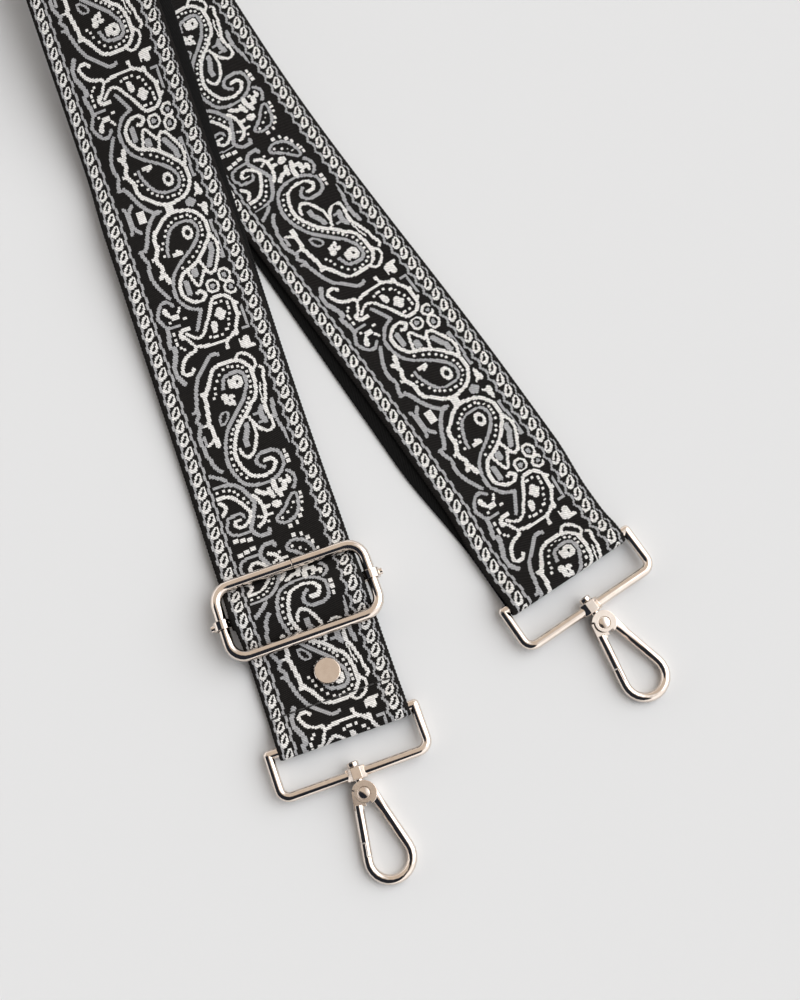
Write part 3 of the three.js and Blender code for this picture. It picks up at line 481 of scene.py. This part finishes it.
def webbing_material():
    """Each yarn's colour carries painted shade in the grooves between its ribs and painted light on them,
    and is varied by fuzz. The figure's satin is smoother.
    """
    material, tree, shader = nodes_of("jacquard_webbing")
    figure = tree.nodes.new("ShaderNodeAttribute")
    figure.attribute_name = "figure"
    weave = tree.nodes.new("ShaderNodeUVMap")
    weave.uv_map = "weave"
    place = weave.outputs["UV"]
    yarn = math_node(tree, "MULTIPLY_ADD", figure.outputs["Fac"], 0.5, 0.5)
    colour = colour_ramp(tree, yarn, yarn_colours, "CONSTANT")
    is_figure = math_node(tree, "GREATER_THAN", figure.outputs["Fac"], 0.25)
    ribs = tree.nodes.new("ShaderNodeMix")
    tree.links.new(is_figure, ribs.inputs[0])
    tree.links.new(yarn_ribs(tree, place, twill_pitch), ribs.inputs[2])
    tree.links.new(yarn_ribs(tree, place, satin_pitch), ribs.inputs[3])
    # Painted light and shade: the yarn colour is darkened in the grooves between the ribs and lightened on
    # the ribs, most on the black ground.
    depth = math_node(tree, "MULTIPLY_ADD", is_figure, -1.15, 1.5)
    valley = math_node(tree, "MULTIPLY_ADD", is_figure, 0.35, 0.4)
    painted_rib_shade = math_node(tree, "MULTIPLY_ADD", ribs.outputs[0], depth, valley)
    fuzz = math_node(tree, "MULTIPLY_ADD", noise_of(tree, place, 900, 3), 0.9, 0.55)
    rib_shade_and_fuzz = math_node(tree, "MULTIPLY", painted_rib_shade, fuzz)
    tree.links.new(mix_colours(tree, "MULTIPLY", 1.0, colour, rib_shade_and_fuzz), shader.inputs["Base Color"])
    roughness = math_node(tree, "MULTIPLY_ADD", is_figure, -0.18, 0.88)
    tree.links.new(roughness, shader.inputs["Roughness"])
    shader.inputs["Specular IOR Level"].default_value = 0.12
    bump = bump_of(tree, ribs.outputs[0], 0.12 * mm, 0.7)
    tree.links.new(bump.outputs["Normal"], shader.inputs["Normal"])
    return material


webbing_finish = webbing_material()

# Webbing band
# One flat band, 49.4 mm wide and 1.3 mm thick, with thinner, bumpy selvedges. Every stretch below is this
# band laid along its own route, and each closes on its neighbour, so no seam shows between stretches.
web_width = 49.4 * mm
web_thickness = 1.3 * mm
selvedge = 0.8 * mm
selvedge_turn = 1.5 * mm
selvedge_dip = 0.25 * mm
selvedge_thin_share = 0.5
selvedge_edge_share = 0.3
turn_thin_share = 0.35
back_columns = 8
relief = 0.10 * mm
gap = 0.3 * mm
layer_step = web_thickness + gap
low = web_thickness / 2
second = low + layer_step
third = second + layer_step


def smooth(t):
    """Leaves 0 and reaches 1 level: three times the square less twice the cube."""
    t = np.clip(t, 0, 1)
    return t * t * (3 - 2 * t)


def between(place, start, end):
    """0 before the start, 1 past the end, and smooth in between."""
    return smooth((place - start) / (end - start))


def band_section():
    """The band's outline as (across, half thickness share): the woven side's cell edges, then the back."""
    woven = (np.arange(columns + 1) - columns / 2) * cell * mm
    back = np.linspace(woven[-1], woven[0], back_columns + 1)
    edge = np.full(2, web_width / 2)
    thin, thin_back = (
        1 - selvedge_thin_share * between(np.abs(side), web_width / 2 - selvedge, web_width / 2)
        for side in (woven, back)
    )
    turned = np.array([selvedge_edge_share, -selvedge_edge_share])
    across = np.concatenate([woven, edge, back, -edge])
    height = np.concatenate([thin, turned, -thin_back, -turned])
    return across, height


section_across, section_height = band_section()


def tube_faces(steps, size):
    """Faces of a closed tube: rings of points joined step by step by four-sided faces, and a cap over
    each end."""
    first = np.arange(steps)[:, None] * size + np.arange(size)
    after = np.arange(steps)[:, None] * size + (np.arange(size) + 1) % size
    quads = np.stack([first, after, after + size, first + size], axis=-1).reshape(-1, 4)
    start_cap = np.arange(size)[::-1]
    end_cap = steps * size + np.arange(size)
    return quads.tolist() + [start_cap.tolist(), end_cap.tolist()]


def add_mesh(name, corners, faces, finish):
    mesh = bpy.data.meshes.new(name)
    mesh.from_pydata(corners, [], faces)
    mesh.polygons.foreach_set("use_smooth", np.ones(len(faces), bool))
    mesh.materials.append(finish)
    return add_object(name, mesh)


def band(name, place, along, figure_start, woven_side=1, draw=1):
    """A closed stretch of webbing. place(across, along, height) gives a point, and rows of the band's
    outline lie at the places along. The woven side rises where it is figured. The figure runs on by draw
    millimetres for each millimetre of webbing."""
    rows = len(along) - 1
    size = len(section_across)
    cells = figure_at(figure_start + draw * (along[:-1] + along[1:]) / 2 / mm)
    raised = np.pad(cells, 1, mode="edge")
    raised = (raised[:-1, :-1] + raised[1:, :-1] + raised[:-1, 1:] + raised[1:, 1:]) / 4
    on_selvedge = np.abs(section_across) > web_width / 2 - selvedge
    turn_angle = 2 * np.pi * (along + figure_start * mm) / selvedge_turn
    turns = (0.5 + 0.5 * np.cos(turn_angle))[:, None] * on_selvedge
    height = section_height * web_thickness / 2 * (1 - turn_thin_share * turns)
    height[:, : columns + 1] += relief * (raised - 0.5)
    across = section_across * (1 - selvedge_dip / (web_width / 2) * turns)
    corners = place(across, along[:, None], woven_side * height).reshape(-1, 3)
    faces = tube_faces(rows, size)
    a, b, c, d = corners[np.array(faces[:-2])].transpose(1, 0, 2)
    if np.einsum("ij,ij->", a, np.cross(b, c) + np.cross(c, d)) < 0:
        faces = [face[::-1] for face in faces]
    piece = add_mesh(name, corners, faces, webbing_finish)
    mesh = piece.data
    values = np.full((rows, size), ground)
    values[:, :columns] = cells
    values[:, columns + 3 : size - 2] = reverse
    values = np.concatenate([values.ravel(), [ground, ground]])
    mesh.attributes.new("figure", "FLOAT", "FACE").data.foreach_set("value", values)
    flat = np.empty((rows + 1, size, 2))
    flat[..., 0] = section_across
    flat[..., 1] = draw * along[:, None] + figure_start * mm
    loops = np.concatenate(faces)
    mesh.uv_layers.new(name="weave").data.foreach_set("uv", flat.reshape(-1, 2)[loops].ravel())
    return piece


class Route:
    """A side view of the webbing's middle, from points (along the leg, height), measured by its length."""

    def __init__(self, points):
        self.points = np.array(points)
        steps = np.linalg.norm(np.diff(self.points, axis=0), axis=1)
        self.lengths = np.concatenate([[0], np.cumsum(steps)])
        self.length = self.lengths[-1]

    def at(self, along):
        return np.stack([np.interp(along, self.lengths, self.points[:, k]) for k in range(2)], axis=-1)

    def ahead(self, along, step):
        """The route's direction at a place, from the points a step before and after it."""
        reach = self.at(along + step) - self.at(along - step)
        return reach / np.linalg.norm(reach, axis=-1, keepdims=True)

    def rows(self):
        """Places along the route, a woven cell apart."""
        return np.linspace(0, self.length, max(round(self.length / (cell * mm)), 2) + 1)


roll_line = 6 * mm
tuck_power = 6
direction_step = 0.2 * mm


def level(place):
    return 0 * place


def laid(route, frame_of_leg, sideways=level, roll=level, tuck=level):
    """Lays the band along a route, and says how and where its rows go: height is measured square to the
    route, sideways moves it across the leg, roll raises its right side by a share of the width, and tuck
    draws in its left selvedge, where that curls down."""

    def place(across, along, height):
        spot = route.at(along)
        ahead = route.ahead(along, direction_step)
        drawn_in = tuck(spot[..., 0]) * np.clip(-2 * across / web_width, 0, 1) ** tuck_power
        x = across + sideways(spot[..., 0]) + drawn_in + 0 * height
        y = spot[..., 0] - ahead[..., 1] * height
        z = spot[..., 1] + ahead[..., 0] * height + roll(spot[..., 0]) * (x - roll_line)
        return frame_of_leg(x, y, z)

    return place, route.rows()


def left_leg(x, y, z):
    return np.stack(np.broadcast_arrays(x + lay.x, y + lay.y, z + lay.z), axis=-1)


def arc(centre, radius, start, end, steps=24):
    """Points round a centre, from one angle to another in radians."""
    angle = np.linspace(start, end, steps)
    return [(centre[0] + radius * math.cos(a), centre[1] + radius * math.sin(a)) for a in angle]


def ramp(start, end, steps=16):
    """Points that leave and arrive level: a cubic whose two inner handles lie halfway."""
    t = np.linspace(0, 1, steps)
    half = (start[0] + end[0]) / 2
    along = (1 - t) ** 3 * start[0] + 3 * (1 - t) * t * half + t**3 * end[0]
    return list(zip(along, start[1] + (end[1] - start[1]) * smooth(t)))


# Sewn end at clasp A
# The webbing's first end lies under the leg, turns round the clasp's top bar and comes back over it. One
# row of thread holds the turn, and the stud goes through the front layer.
ring_wire = 3.5 * mm
fold_bend = ring_wire / 2 + gap + web_thickness / 2
fold_bar = (fold_bend + web_thickness / 2, low + fold_bend)
fold_ramp = 13 * mm
fold_lead = 1 * mm
fold_crest = 0.1 * mm
sewn_tail = 17.7 * mm
run_start = 29.85 * mm


def clasp_fold(tail, front):
    top = fold_bar[1] + fold_bend
    points = [(tail, low), (fold_bar[0] + fold_lead, low)]
    points += arc(fold_bar, fold_bend, -math.pi / 2, -3 * math.pi / 2)
    points += ramp((fold_bar[0] + fold_crest, top), (fold_bar[0] + fold_ramp, second))
    return Route(points + [(front, second)])


clasp_a_route = clasp_fold(sewn_tail, run_start)

# Stretch through the slider
# It dips under the lower rail, humps over the centre bar and dips again under the upper rail.
slider_wire = 4 * mm
rail_gap = 0.45 * mm
rail_place = 13 * mm
bar_radius = 1.6 * mm
lower_rail = (slider_place - rail_place, third + web_thickness / 2 + rail_gap + slider_wire / 2)
upper_rail = (slider_place + rail_place, lower_rail[1])
bar = (slider_place, lower_rail[1])
rail_bend = slider_wire / 2 + rail_gap + web_thickness / 2
hump_bend = bar_radius + gap + web_thickness / 2 + layer_step
loop_bend = hump_bend - layer_step
slope = math.asin((rail_bend + hump_bend) / rail_place)
down, up = -math.pi / 2, math.pi / 2
front_figure = 72.15
run_end = front_figure * mm
run_points = ramp((run_start, second), (lower_rail[0], third))
run_points += arc(lower_rail, rail_bend, down, down + slope)[1:]
run_points += arc(bar, hump_bend, up + slope, up - slope)
run_points += arc(upper_rail, rail_bend, down - slope, down)
run_route = Route(run_points + [(run_end, third)])

# Left leg, upper layer
# It drops by one layer past the sewn tail of the slider loop, then rises over the right leg to the
# hairpin. All places are measured up the leg.
spread = math.radians(14.3)
crease = spread / 2
left_length = 396 * mm
hairpin_radius = 13.1 * mm
hairpin_skew = 5 * mm
hairpin_reach = math.pi * hairpin_radius / 2 + (web_width / 2 + hairpin_skew) * math.sin(crease) + gap
hairpin_lift = 2 * hairpin_radius - layer_step
leg_top = left_length - hairpin_reach
tail_end = 78 * mm
tail_drop_length = 12.5 * mm
crossing_lift = 11.6 * mm
crossing_start, crossing_end = 95 * mm, 340 * mm
rise_start, rise_end = 205 * mm, 328 * mm
roll_share = 0.13
roll_start, roll_full, roll_fading, roll_end = 203 * mm, 235 * mm, 300 * mm, 370 * mm
tuck_depth = 1.4 * mm
tuck_fading, tuck_end = 35 * mm, 65 * mm
leg_drift = -0.7 * mm
drift_start, drift_full, drift_fading, drift_end = 205 * mm, 235 * mm, 320 * mm, 365 * mm


def lift(place):
    """Height of the left leg over the table: some to cross the right leg, the rest into the hairpin."""
    to_hairpin = (hairpin_lift - crossing_lift) * between(place, rise_start, rise_end)
    return crossing_lift * between(place, crossing_start, crossing_end) + to_hairpin


def leg_roll(place):
    """The leg tips to its left side on the way up to the slanted turn, and is level where it gets there."""
    return roll_share * between(place, roll_start, roll_full) * (1 - between(place, roll_fading, roll_end))


def upper_part(place):
    """1 on the upper part of the leg, 0 at its middle and at the turn."""
    return between(place, drift_start, drift_full) * (1 - between(place, drift_fading, drift_end))


def leg_tuck(place):
    return tuck_depth * (1 - between(place, tuck_fading, tuck_end) + upper_part(place))


def leg_sideways(place):
    return leg_drift * upper_part(place)


front_place = np.linspace(run_end, leg_top, 400)
front_drop = layer_step * smooth((front_place - tail_end - gap) / tail_drop_length)
front_route = Route(np.stack([front_place, third - front_drop + lift(front_place)], axis=-1))

# On the left leg the figure counts millimetres up the leg. It runs on through the slider and the sewn
# end, where it is a little shorter.
run_draw = 1.016
clasp_a_draw = 1.036
run_figure = front_figure - run_draw * run_route.length / mm
clasp_a_figure = run_figure - clasp_a_draw * clasp_a_route.length / mm
clasp_a_end = band("webbing_clasp_a_turn", *laid(clasp_a_route, left_leg, tuck=leg_tuck),
                   clasp_a_figure, draw=clasp_a_draw)
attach(clasp_a_end, "strap")
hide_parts("webbing_clasp_a_end")

slider_run = band("webbing_over_slider", *laid(run_route, left_leg, tuck=leg_tuck), run_figure,
                  draw=run_draw)
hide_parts("webbing_slider_run")
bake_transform(slider_run)

left_front = band("webbing_left_front", *laid(front_route, left_leg, leg_sideways, leg_roll, leg_tuck),
                  front_figure)
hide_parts("webbing_left_leg_front")
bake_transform(left_front)

# Hairpin
# Both layers turn over at the top of the legs, the inner one inside the outer one. The crease is slanted by
# half the angle between the legs, so the turn is a cylinder that is set askew to the webbing.
hairpin_height = low + hairpin_radius
inner_radius = hairpin_radius - layer_step
bend_start = -math.pi * hairpin_radius / 2


def over_hairpin(radius, skew):
    """Rolls the flat band over a cylinder along the crease: before the turn it lies on the left leg, and
    after it on the right one. The distance past the turn's start, square to the crease, gives the angle
    round the cylinder."""

    def place(across, along, height):
        across = across + skew
        out = radius + height
        creaseway = across * math.cos(crease) + along * math.sin(crease)
        outward = along * math.cos(crease) - across * math.sin(crease)
        angle = np.clip((outward - bend_start) / radius, 0, math.pi)
        past = np.maximum(outward - bend_start - math.pi * radius, 0)
        reach = np.minimum(outward, bend_start) + out * np.sin(angle) - past
        x = creaseway * math.cos(crease) - reach * math.sin(crease)
        y = creaseway * math.sin(crease) + reach * math.cos(crease)
        return left_leg(x, y + left_length, hairpin_height + out * np.cos(angle))

    return place


hairpin_rows = np.linspace(-hairpin_reach, hairpin_reach, round(2 * hairpin_reach / (cell * mm)) + 1)
outer_figure = front_figure + (front_route.length + hairpin_reach) / mm
fold_outer = band("webbing_hairpin_outer", over_hairpin(hairpin_radius, 0), hairpin_rows, outer_figure)
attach(fold_outer, "strap")
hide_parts("webbing_fold_outer")

# Right leg, lower layer
# It lies on the table, figured side down, from the hairpin to the fold at clasp B. Places on this leg are
# measured from the hairpin, and are negative.
right_length = 381.2 * mm
shift_start = 175 * mm
shift_end = 310 * mm
outer_shift = -3.3 * mm
fold_reach = 22.15 * mm
leg_end = fold_reach - right_length


def right_leg(x, y, z):
    return left_leg(x * math.cos(spread) - y * math.sin(spread),
                    left_length + x * math.sin(spread) + y * math.cos(spread), z)


def away_at(y):
    return between(-y, hairpin_reach, shift_start)


def outer_sideways(y):
    """The layer wanders to the left and comes back to where the fold hangs in the clasp."""
    return outer_shift * away_at(y) * (1 - between(-y, shift_end, -leg_end))


back_route = Route([(-hairpin_reach, low), (leg_end, low)])
right_back = band("webbing_right_back", *laid(back_route, right_leg, outer_sideways),
                  outer_figure + hairpin_reach / mm)
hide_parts("webbing_right_leg_back")
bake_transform(right_back)

# Fold at clasp B
# The doubled webbing turns round this clasp's bar and isn't sewn, so the clasp can travel along it.
clasp_b_route = clasp_fold(fold_reach, fold_reach)
front_mirror = 209.1
mirror_place = 303.55 * mm
right_draw = 1 / 0.9655


def at_clasp_b(x, y, z):
    return right_leg(x, y - right_length, z)


right_figure = front_mirror + right_draw * (mirror_place + leg_end) / mm
clasp_b_figure = right_figure - right_draw * clasp_b_route.length / mm
clasp_b_end = band("webbing_clasp_b_turn", *laid(clasp_b_route, at_clasp_b), clasp_b_figure,
                   draw=right_draw)
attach(clasp_b_end, "clasp_b_fold")
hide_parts("webbing_clasp_b_end")

# Right leg, upper layer
# It runs back up from the fold, figured side up, and lets the lower layer show along its left edge.
inner_shift = -math.pi * (hairpin_radius - inner_radius)
inner_start = inner_shift * math.cos(crease) - hairpin_reach
skew_at_hairpin = hairpin_skew + inner_shift * math.sin(crease)
upper_shift = 1.55 * mm
hang_start = 335 * mm


def inner_sideways(y):
    """The layer wanders: aside at the hairpin, to the left beyond the crossing and to the right before the
    clasp."""
    far = skew_at_hairpin - (upper_shift + skew_at_hairpin) * away_at(y)
    near = between(-y, shift_start, shift_end)
    return (far + (upper_shift - far) * near) * (1 - between(-y, hang_start, -leg_end))


right_route = Route([(leg_end, second), (inner_start, second)])
right_front = band("webbing_right_front", *laid(right_route, right_leg, inner_sideways), right_figure,
                   draw=right_draw)
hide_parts("webbing_right_leg_front")
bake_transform(right_front)

# Hairpin, inner layer
# It turns inside the outer layer, with its figured side facing inward.
inner_place = over_hairpin(inner_radius, hairpin_skew)
inner_figure = right_figure + (right_draw * right_route.length + hairpin_reach) / mm
fold_inner = band("webbing_hairpin_inner",
                  lambda across, along, height: inner_place(across, -along, height),
                  hairpin_rows, inner_figure, woven_side=-1)
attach(fold_inner, "strap")
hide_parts("webbing_fold_inner")

# Left leg, lower layer
# It comes down under the upper layer, figured side down, to the slider.
anchor_start = 66.15 * mm
down_place = np.linspace(leg_top, anchor_start, 400)
down_route = Route(np.stack([down_place, low + lift(down_place)], axis=-1))


def left_sideways(y):
    return hairpin_skew * between(y, crossing_start, leg_top)


down_figure = inner_figure + hairpin_reach / mm
left_back = band("webbing_left_back", *laid(down_route, left_leg, left_sideways, leg_roll), down_figure)
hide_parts("webbing_left_leg_back")
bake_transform(left_back)

# Loop round the slider's bar
# The webbing's other end goes up round the centre bar, back under the upper rail, and is sewn to itself.
anchor_bend = rail_bend + layer_step
anchor_rise = (slider_place + 11 * mm, low)
anchor_points = [(anchor_start, low), anchor_rise]
anchor_points += ramp(anchor_rise, (slider_place, bar[1] - loop_bend))[1:]
anchor_points += arc(bar, loop_bend, down, up - slope - 2 * math.pi)
anchor_points += arc(upper_rail, anchor_bend, down - slope, down)
anchor_route = Route(anchor_points + [(tail_end, second)])
anchor_figure = down_figure + down_route.length / mm
anchor = band("webbing_slider_loop", *laid(anchor_route, left_leg), anchor_figure)
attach(anchor, "slider")
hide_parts("webbing_slider_anchor")

# Sewing threads
# Black bonded thread, one row across the turn at clasp A and one across the slider loop. Each stitch is a
# short arched length of thread that dips into the webbing at both ends.
thread_radius = 0.36 * mm
thread_end_share = 0.45
stitch_pitch = 3.2 * mm
stitch_length = 3.0 * mm
stitch_arch = 0.25 * mm
stitch_dip = 0.1 * mm
stitch_count = 14
stitch_sides = 6
stitch_rings = 7


def speckled_material(name, scale, dark, pale, roughness, metallic):
    """A finish whose colour changes finely between a dark and a pale value."""
    material, tree, shader = nodes_of(name)
    place = tree.nodes.new("ShaderNodeTexCoord")
    noise = noise_of(tree, place.outputs["Object"], scale)
    speckles = colour_ramp(tree, noise, [(0, dark), (1, pale)])
    tree.links.new(speckles, shader.inputs["Base Color"])
    set_inputs(shader, {"Roughness": roughness, "Metallic": metallic})
    return material


thread_finish = speckled_material("bonded_thread", 2500, (0.01, 0.01, 0.01), (0.06, 0.058, 0.056), 0.55, 0)


def stitch_row(name, place, body):
    """Short tubes in a row: rings of points round a low arch, repeated across the webbing."""
    t = np.linspace(0, 1, stitch_rings)
    arch = np.sin(np.pi * t)
    x = (t - 0.5) * stitch_length
    z = stitch_arch * arch - stitch_dip
    taper = thread_radius * (thread_end_share + (1 - thread_end_share) * arch)
    angle = 2 * np.pi * np.arange(stitch_sides) / stitch_sides
    tube = np.stack([x[:, None] + 0 * angle, taper[:, None] * np.cos(angle),
                     z[:, None] + taper[:, None] * np.sin(angle)], axis=-1)
    shift = (np.arange(stitch_count) - (stitch_count - 1) / 2) * stitch_pitch
    points = tube[None] + np.stack([shift, 0 * shift, 0 * shift], axis=-1)[:, None, None, :]
    faces = []
    for stitch in range(stitch_count):
        base = stitch * stitch_rings * stitch_sides
        for face in tube_faces(stitch_rings - 1, stitch_sides):
            faces.append([base + corner for corner in face])
    row = add_mesh(name, place(*points.reshape(-1, 3).T), faces, thread_finish)
    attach(row, body)
    return row


stitch_step = 0.5 * mm


def on_route(route, along, sunk=0):
    """Lays a stitch row on the woven side of a route, at a place along it."""
    spot = route.at(along)
    ahead = route.ahead(along, stitch_step)

    def place(x, y, z):
        out = web_thickness / 2 + z + sunk
        return left_leg(x, spot[0] + ahead[0] * y - ahead[1] * out, spot[1] + ahead[1] * y + ahead[0] * out)

    return place


clasp_seam = 14.6 * mm
sewn_place = clasp_a_route.length - (run_start - clasp_seam)
stitch_row("thread_clasp_a", on_route(clasp_a_route, sewn_place), "strap")

loop_seam = 71 * mm
loop_seam_sunk = -0.42 * mm
under_leg = Route([(leg_top, low), (0, low)])
stitch_row("thread_slider_loop", on_route(under_leg, leg_top - loop_seam, loop_seam_sunk), "slider")

# Hardware
# Bright nickel plate with a slight champagne tint on bent steel wire: two clasps, the slider and the stud.
# The shapes are the model's own, with their welded corners smoothed and their real edges kept sharp.
sharp_angle = math.radians(32)
weld_distance = 0.002 * mm


def nickel_material():
    material, tree, shader = nodes_of("nickel_plate")
    place = tree.nodes.new("ShaderNodeTexCoord")
    cloudy = noise_of(tree, place.outputs["Object"], 260, 5)
    fine = noise_of(tree, place.outputs["Object"], 4200, 2)
    tint = colour_ramp(tree, cloudy, [(0.35, (0.77, 0.669, 0.586)), (0.7, (0.835, 0.743, 0.664))])
    tree.links.new(tint, shader.inputs["Base Color"])
    roughness = math_node(tree, "MULTIPLY_ADD", fine, 0.07, 0.04)
    tree.links.new(roughness, shader.inputs["Roughness"])
    shader.inputs["Metallic"].default_value = 1
    rounded = tree.nodes.new("ShaderNodeBevel")
    rounded.samples = 6
    rounded.inputs["Radius"].default_value = 0.22 * mm
    bump = bump_of(tree, fine, 0.01 * mm, 0.35)
    tree.links.new(rounded.outputs["Normal"], bump.inputs["Normal"])
    tree.links.new(bump.outputs["Normal"], shader.inputs["Normal"])
    return material


nickel_finish = nickel_material()
spring_finish = speckled_material("spring_wire", 3000, (0.22, 0.225, 0.24), (0.48, 0.49, 0.52), 0.35, 1)


def smoothed(node, name, finish):
    """A welded copy of a solid whose shallow corners are shaded round and whose sharp edges stay sharp."""
    piece = add_object(name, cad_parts[node].data.copy())
    shape = bmesh.new()
    shape.from_mesh(piece.data)
    bmesh.ops.remove_doubles(shape, verts=shape.verts, dist=weld_distance)
    for face in shape.faces:
        face.smooth = True
    for edge in shape.edges:
        edge.smooth = len(edge.link_faces) == 2 and edge.calc_face_angle() < sharp_angle
    shape.to_mesh(piece.data)
    shape.free()
    piece.data.materials.clear()
    piece.data.materials.append(finish)
    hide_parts(node)
    return piece


nickel_nodes = {"strap": ["rivet_cap", "rivet_back"], "slider": ["slider_frame", "slider_bar"]}
for letter in "ab":
    nickel_nodes["ring_" + letter] = ["clasp_ring_" + letter]
    nickel_nodes["hook_" + letter] = ["hook_body_" + letter, "gate_pin_" + letter]
    nickel_nodes["gate_" + letter] = ["hook_gate_" + letter]
for body, names in nickel_nodes.items():
    for node in names:
        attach(smoothed(node, node + "_plated", nickel_finish), body)

# Gate springs
# Each coil of steel wire stands round its gate pin. Its foot is held in the hook's cheek and its head in
# the gate's knuckle, so the coil winds up as the gate opens.
for letter in "ab":
    spring_node = "gate_spring_" + letter
    spring = smoothed(spring_node, spring_node + "_wound", spring_finish)
    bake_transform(spring)

# Table top
# A plain pale surface, wider than the picture, which the strap lies on.
floor_half = 3.0
floor_corners = [(-floor_half, -floor_half, 0), (floor_half, -floor_half, 0),
                 (floor_half, floor_half, 0), (-floor_half, floor_half, 0)]
table_finish, _, table_shader = nodes_of("table_paint")
table_look = {"Base Color": (0.812, 0.823, 0.833, 1), "Roughness": 0.9, "Specular IOR Level": 0.1}
set_inputs(table_shader, table_look)
table = add_mesh("table_top", floor_corners, [(0, 1, 2, 3)], table_finish)

# Light and room
# A soft low lamp and a broad window on the viewer's right, pale walls and a dimmer, warmer ceiling. The
# dark place where the photographer stands gives the plated wires their dark lines.
picture_right = Vector((0.9426, -0.3338, 0))
zenith = Vector((0, 0, 1))
leg_up = Vector((0, 1, 0))
lamp = add_object("window_lamp", bpy.data.lights.new("window_lamp", "SUN"))
lamp.data.energy = 1.12
lamp.data.angle = math.radians(60)
to_lamp = picture_right + picture_up * 0.35 + zenith
lamp.rotation_euler = to_lamp.to_track_quat("Z", "Y").to_euler()

world = bpy.data.worlds.new("room")
bpy.context.scene.world = world
world.use_nodes = True
room = world.node_tree
sky = room.nodes["Background"]
direction = room.nodes.new("ShaderNodeTexCoord")


def round_patch(towards, inner_degrees, outer_degrees, beside, within):
    """A round patch of the room: one value within the inner angle of a direction, another beyond the outer
    one."""
    facing = room.nodes.new("ShaderNodeVectorMath")
    facing.operation = "DOT_PRODUCT"
    facing.inputs[1].default_value = towards.normalized()
    room.links.new(direction.outputs["Generated"], facing.inputs[0])
    fade = room.nodes.new("ShaderNodeMapRange")
    fade.interpolation_type = "SMOOTHSTEP"
    start, end = (math.cos(math.radians(degrees)) for degrees in (outer_degrees, inner_degrees))
    set_inputs(fade, {"From Min": start, "From Max": end, "To Min": beside, "To Max": within})
    room.links.new(facing.outputs["Value"], fade.inputs["Value"])
    return fade.outputs["Result"]


photographer = round_patch(zenith - picture_up * 0.95 - picture_right * 0.65, 45, 48, 1, 0)
window = round_patch(zenith + picture_right * 1.12 + picture_up * 0.41, 28, 52, 0, 1.2)
beyond_ceiling = round_patch(zenith + leg_up * 0.45, 42, 62, 1, 0)
warm_room = mix_colours(room, "MIX", beyond_ceiling, (0.555, 0.492, 0.43, 1), (1.02, 1.02, 1.03, 1))
bright_room = mix_colours(room, "LIGHTEN", 1.0, warm_room, window)
walls = mix_colours(room, "MIX", photographer, (0.018, 0.021, 0.029, 1), bright_room)
room.links.new(walls, sky.inputs["Color"])
sky.inputs["Strength"].default_value = 1.26

bpy.context.scene.view_settings.view_transform = "Standard"
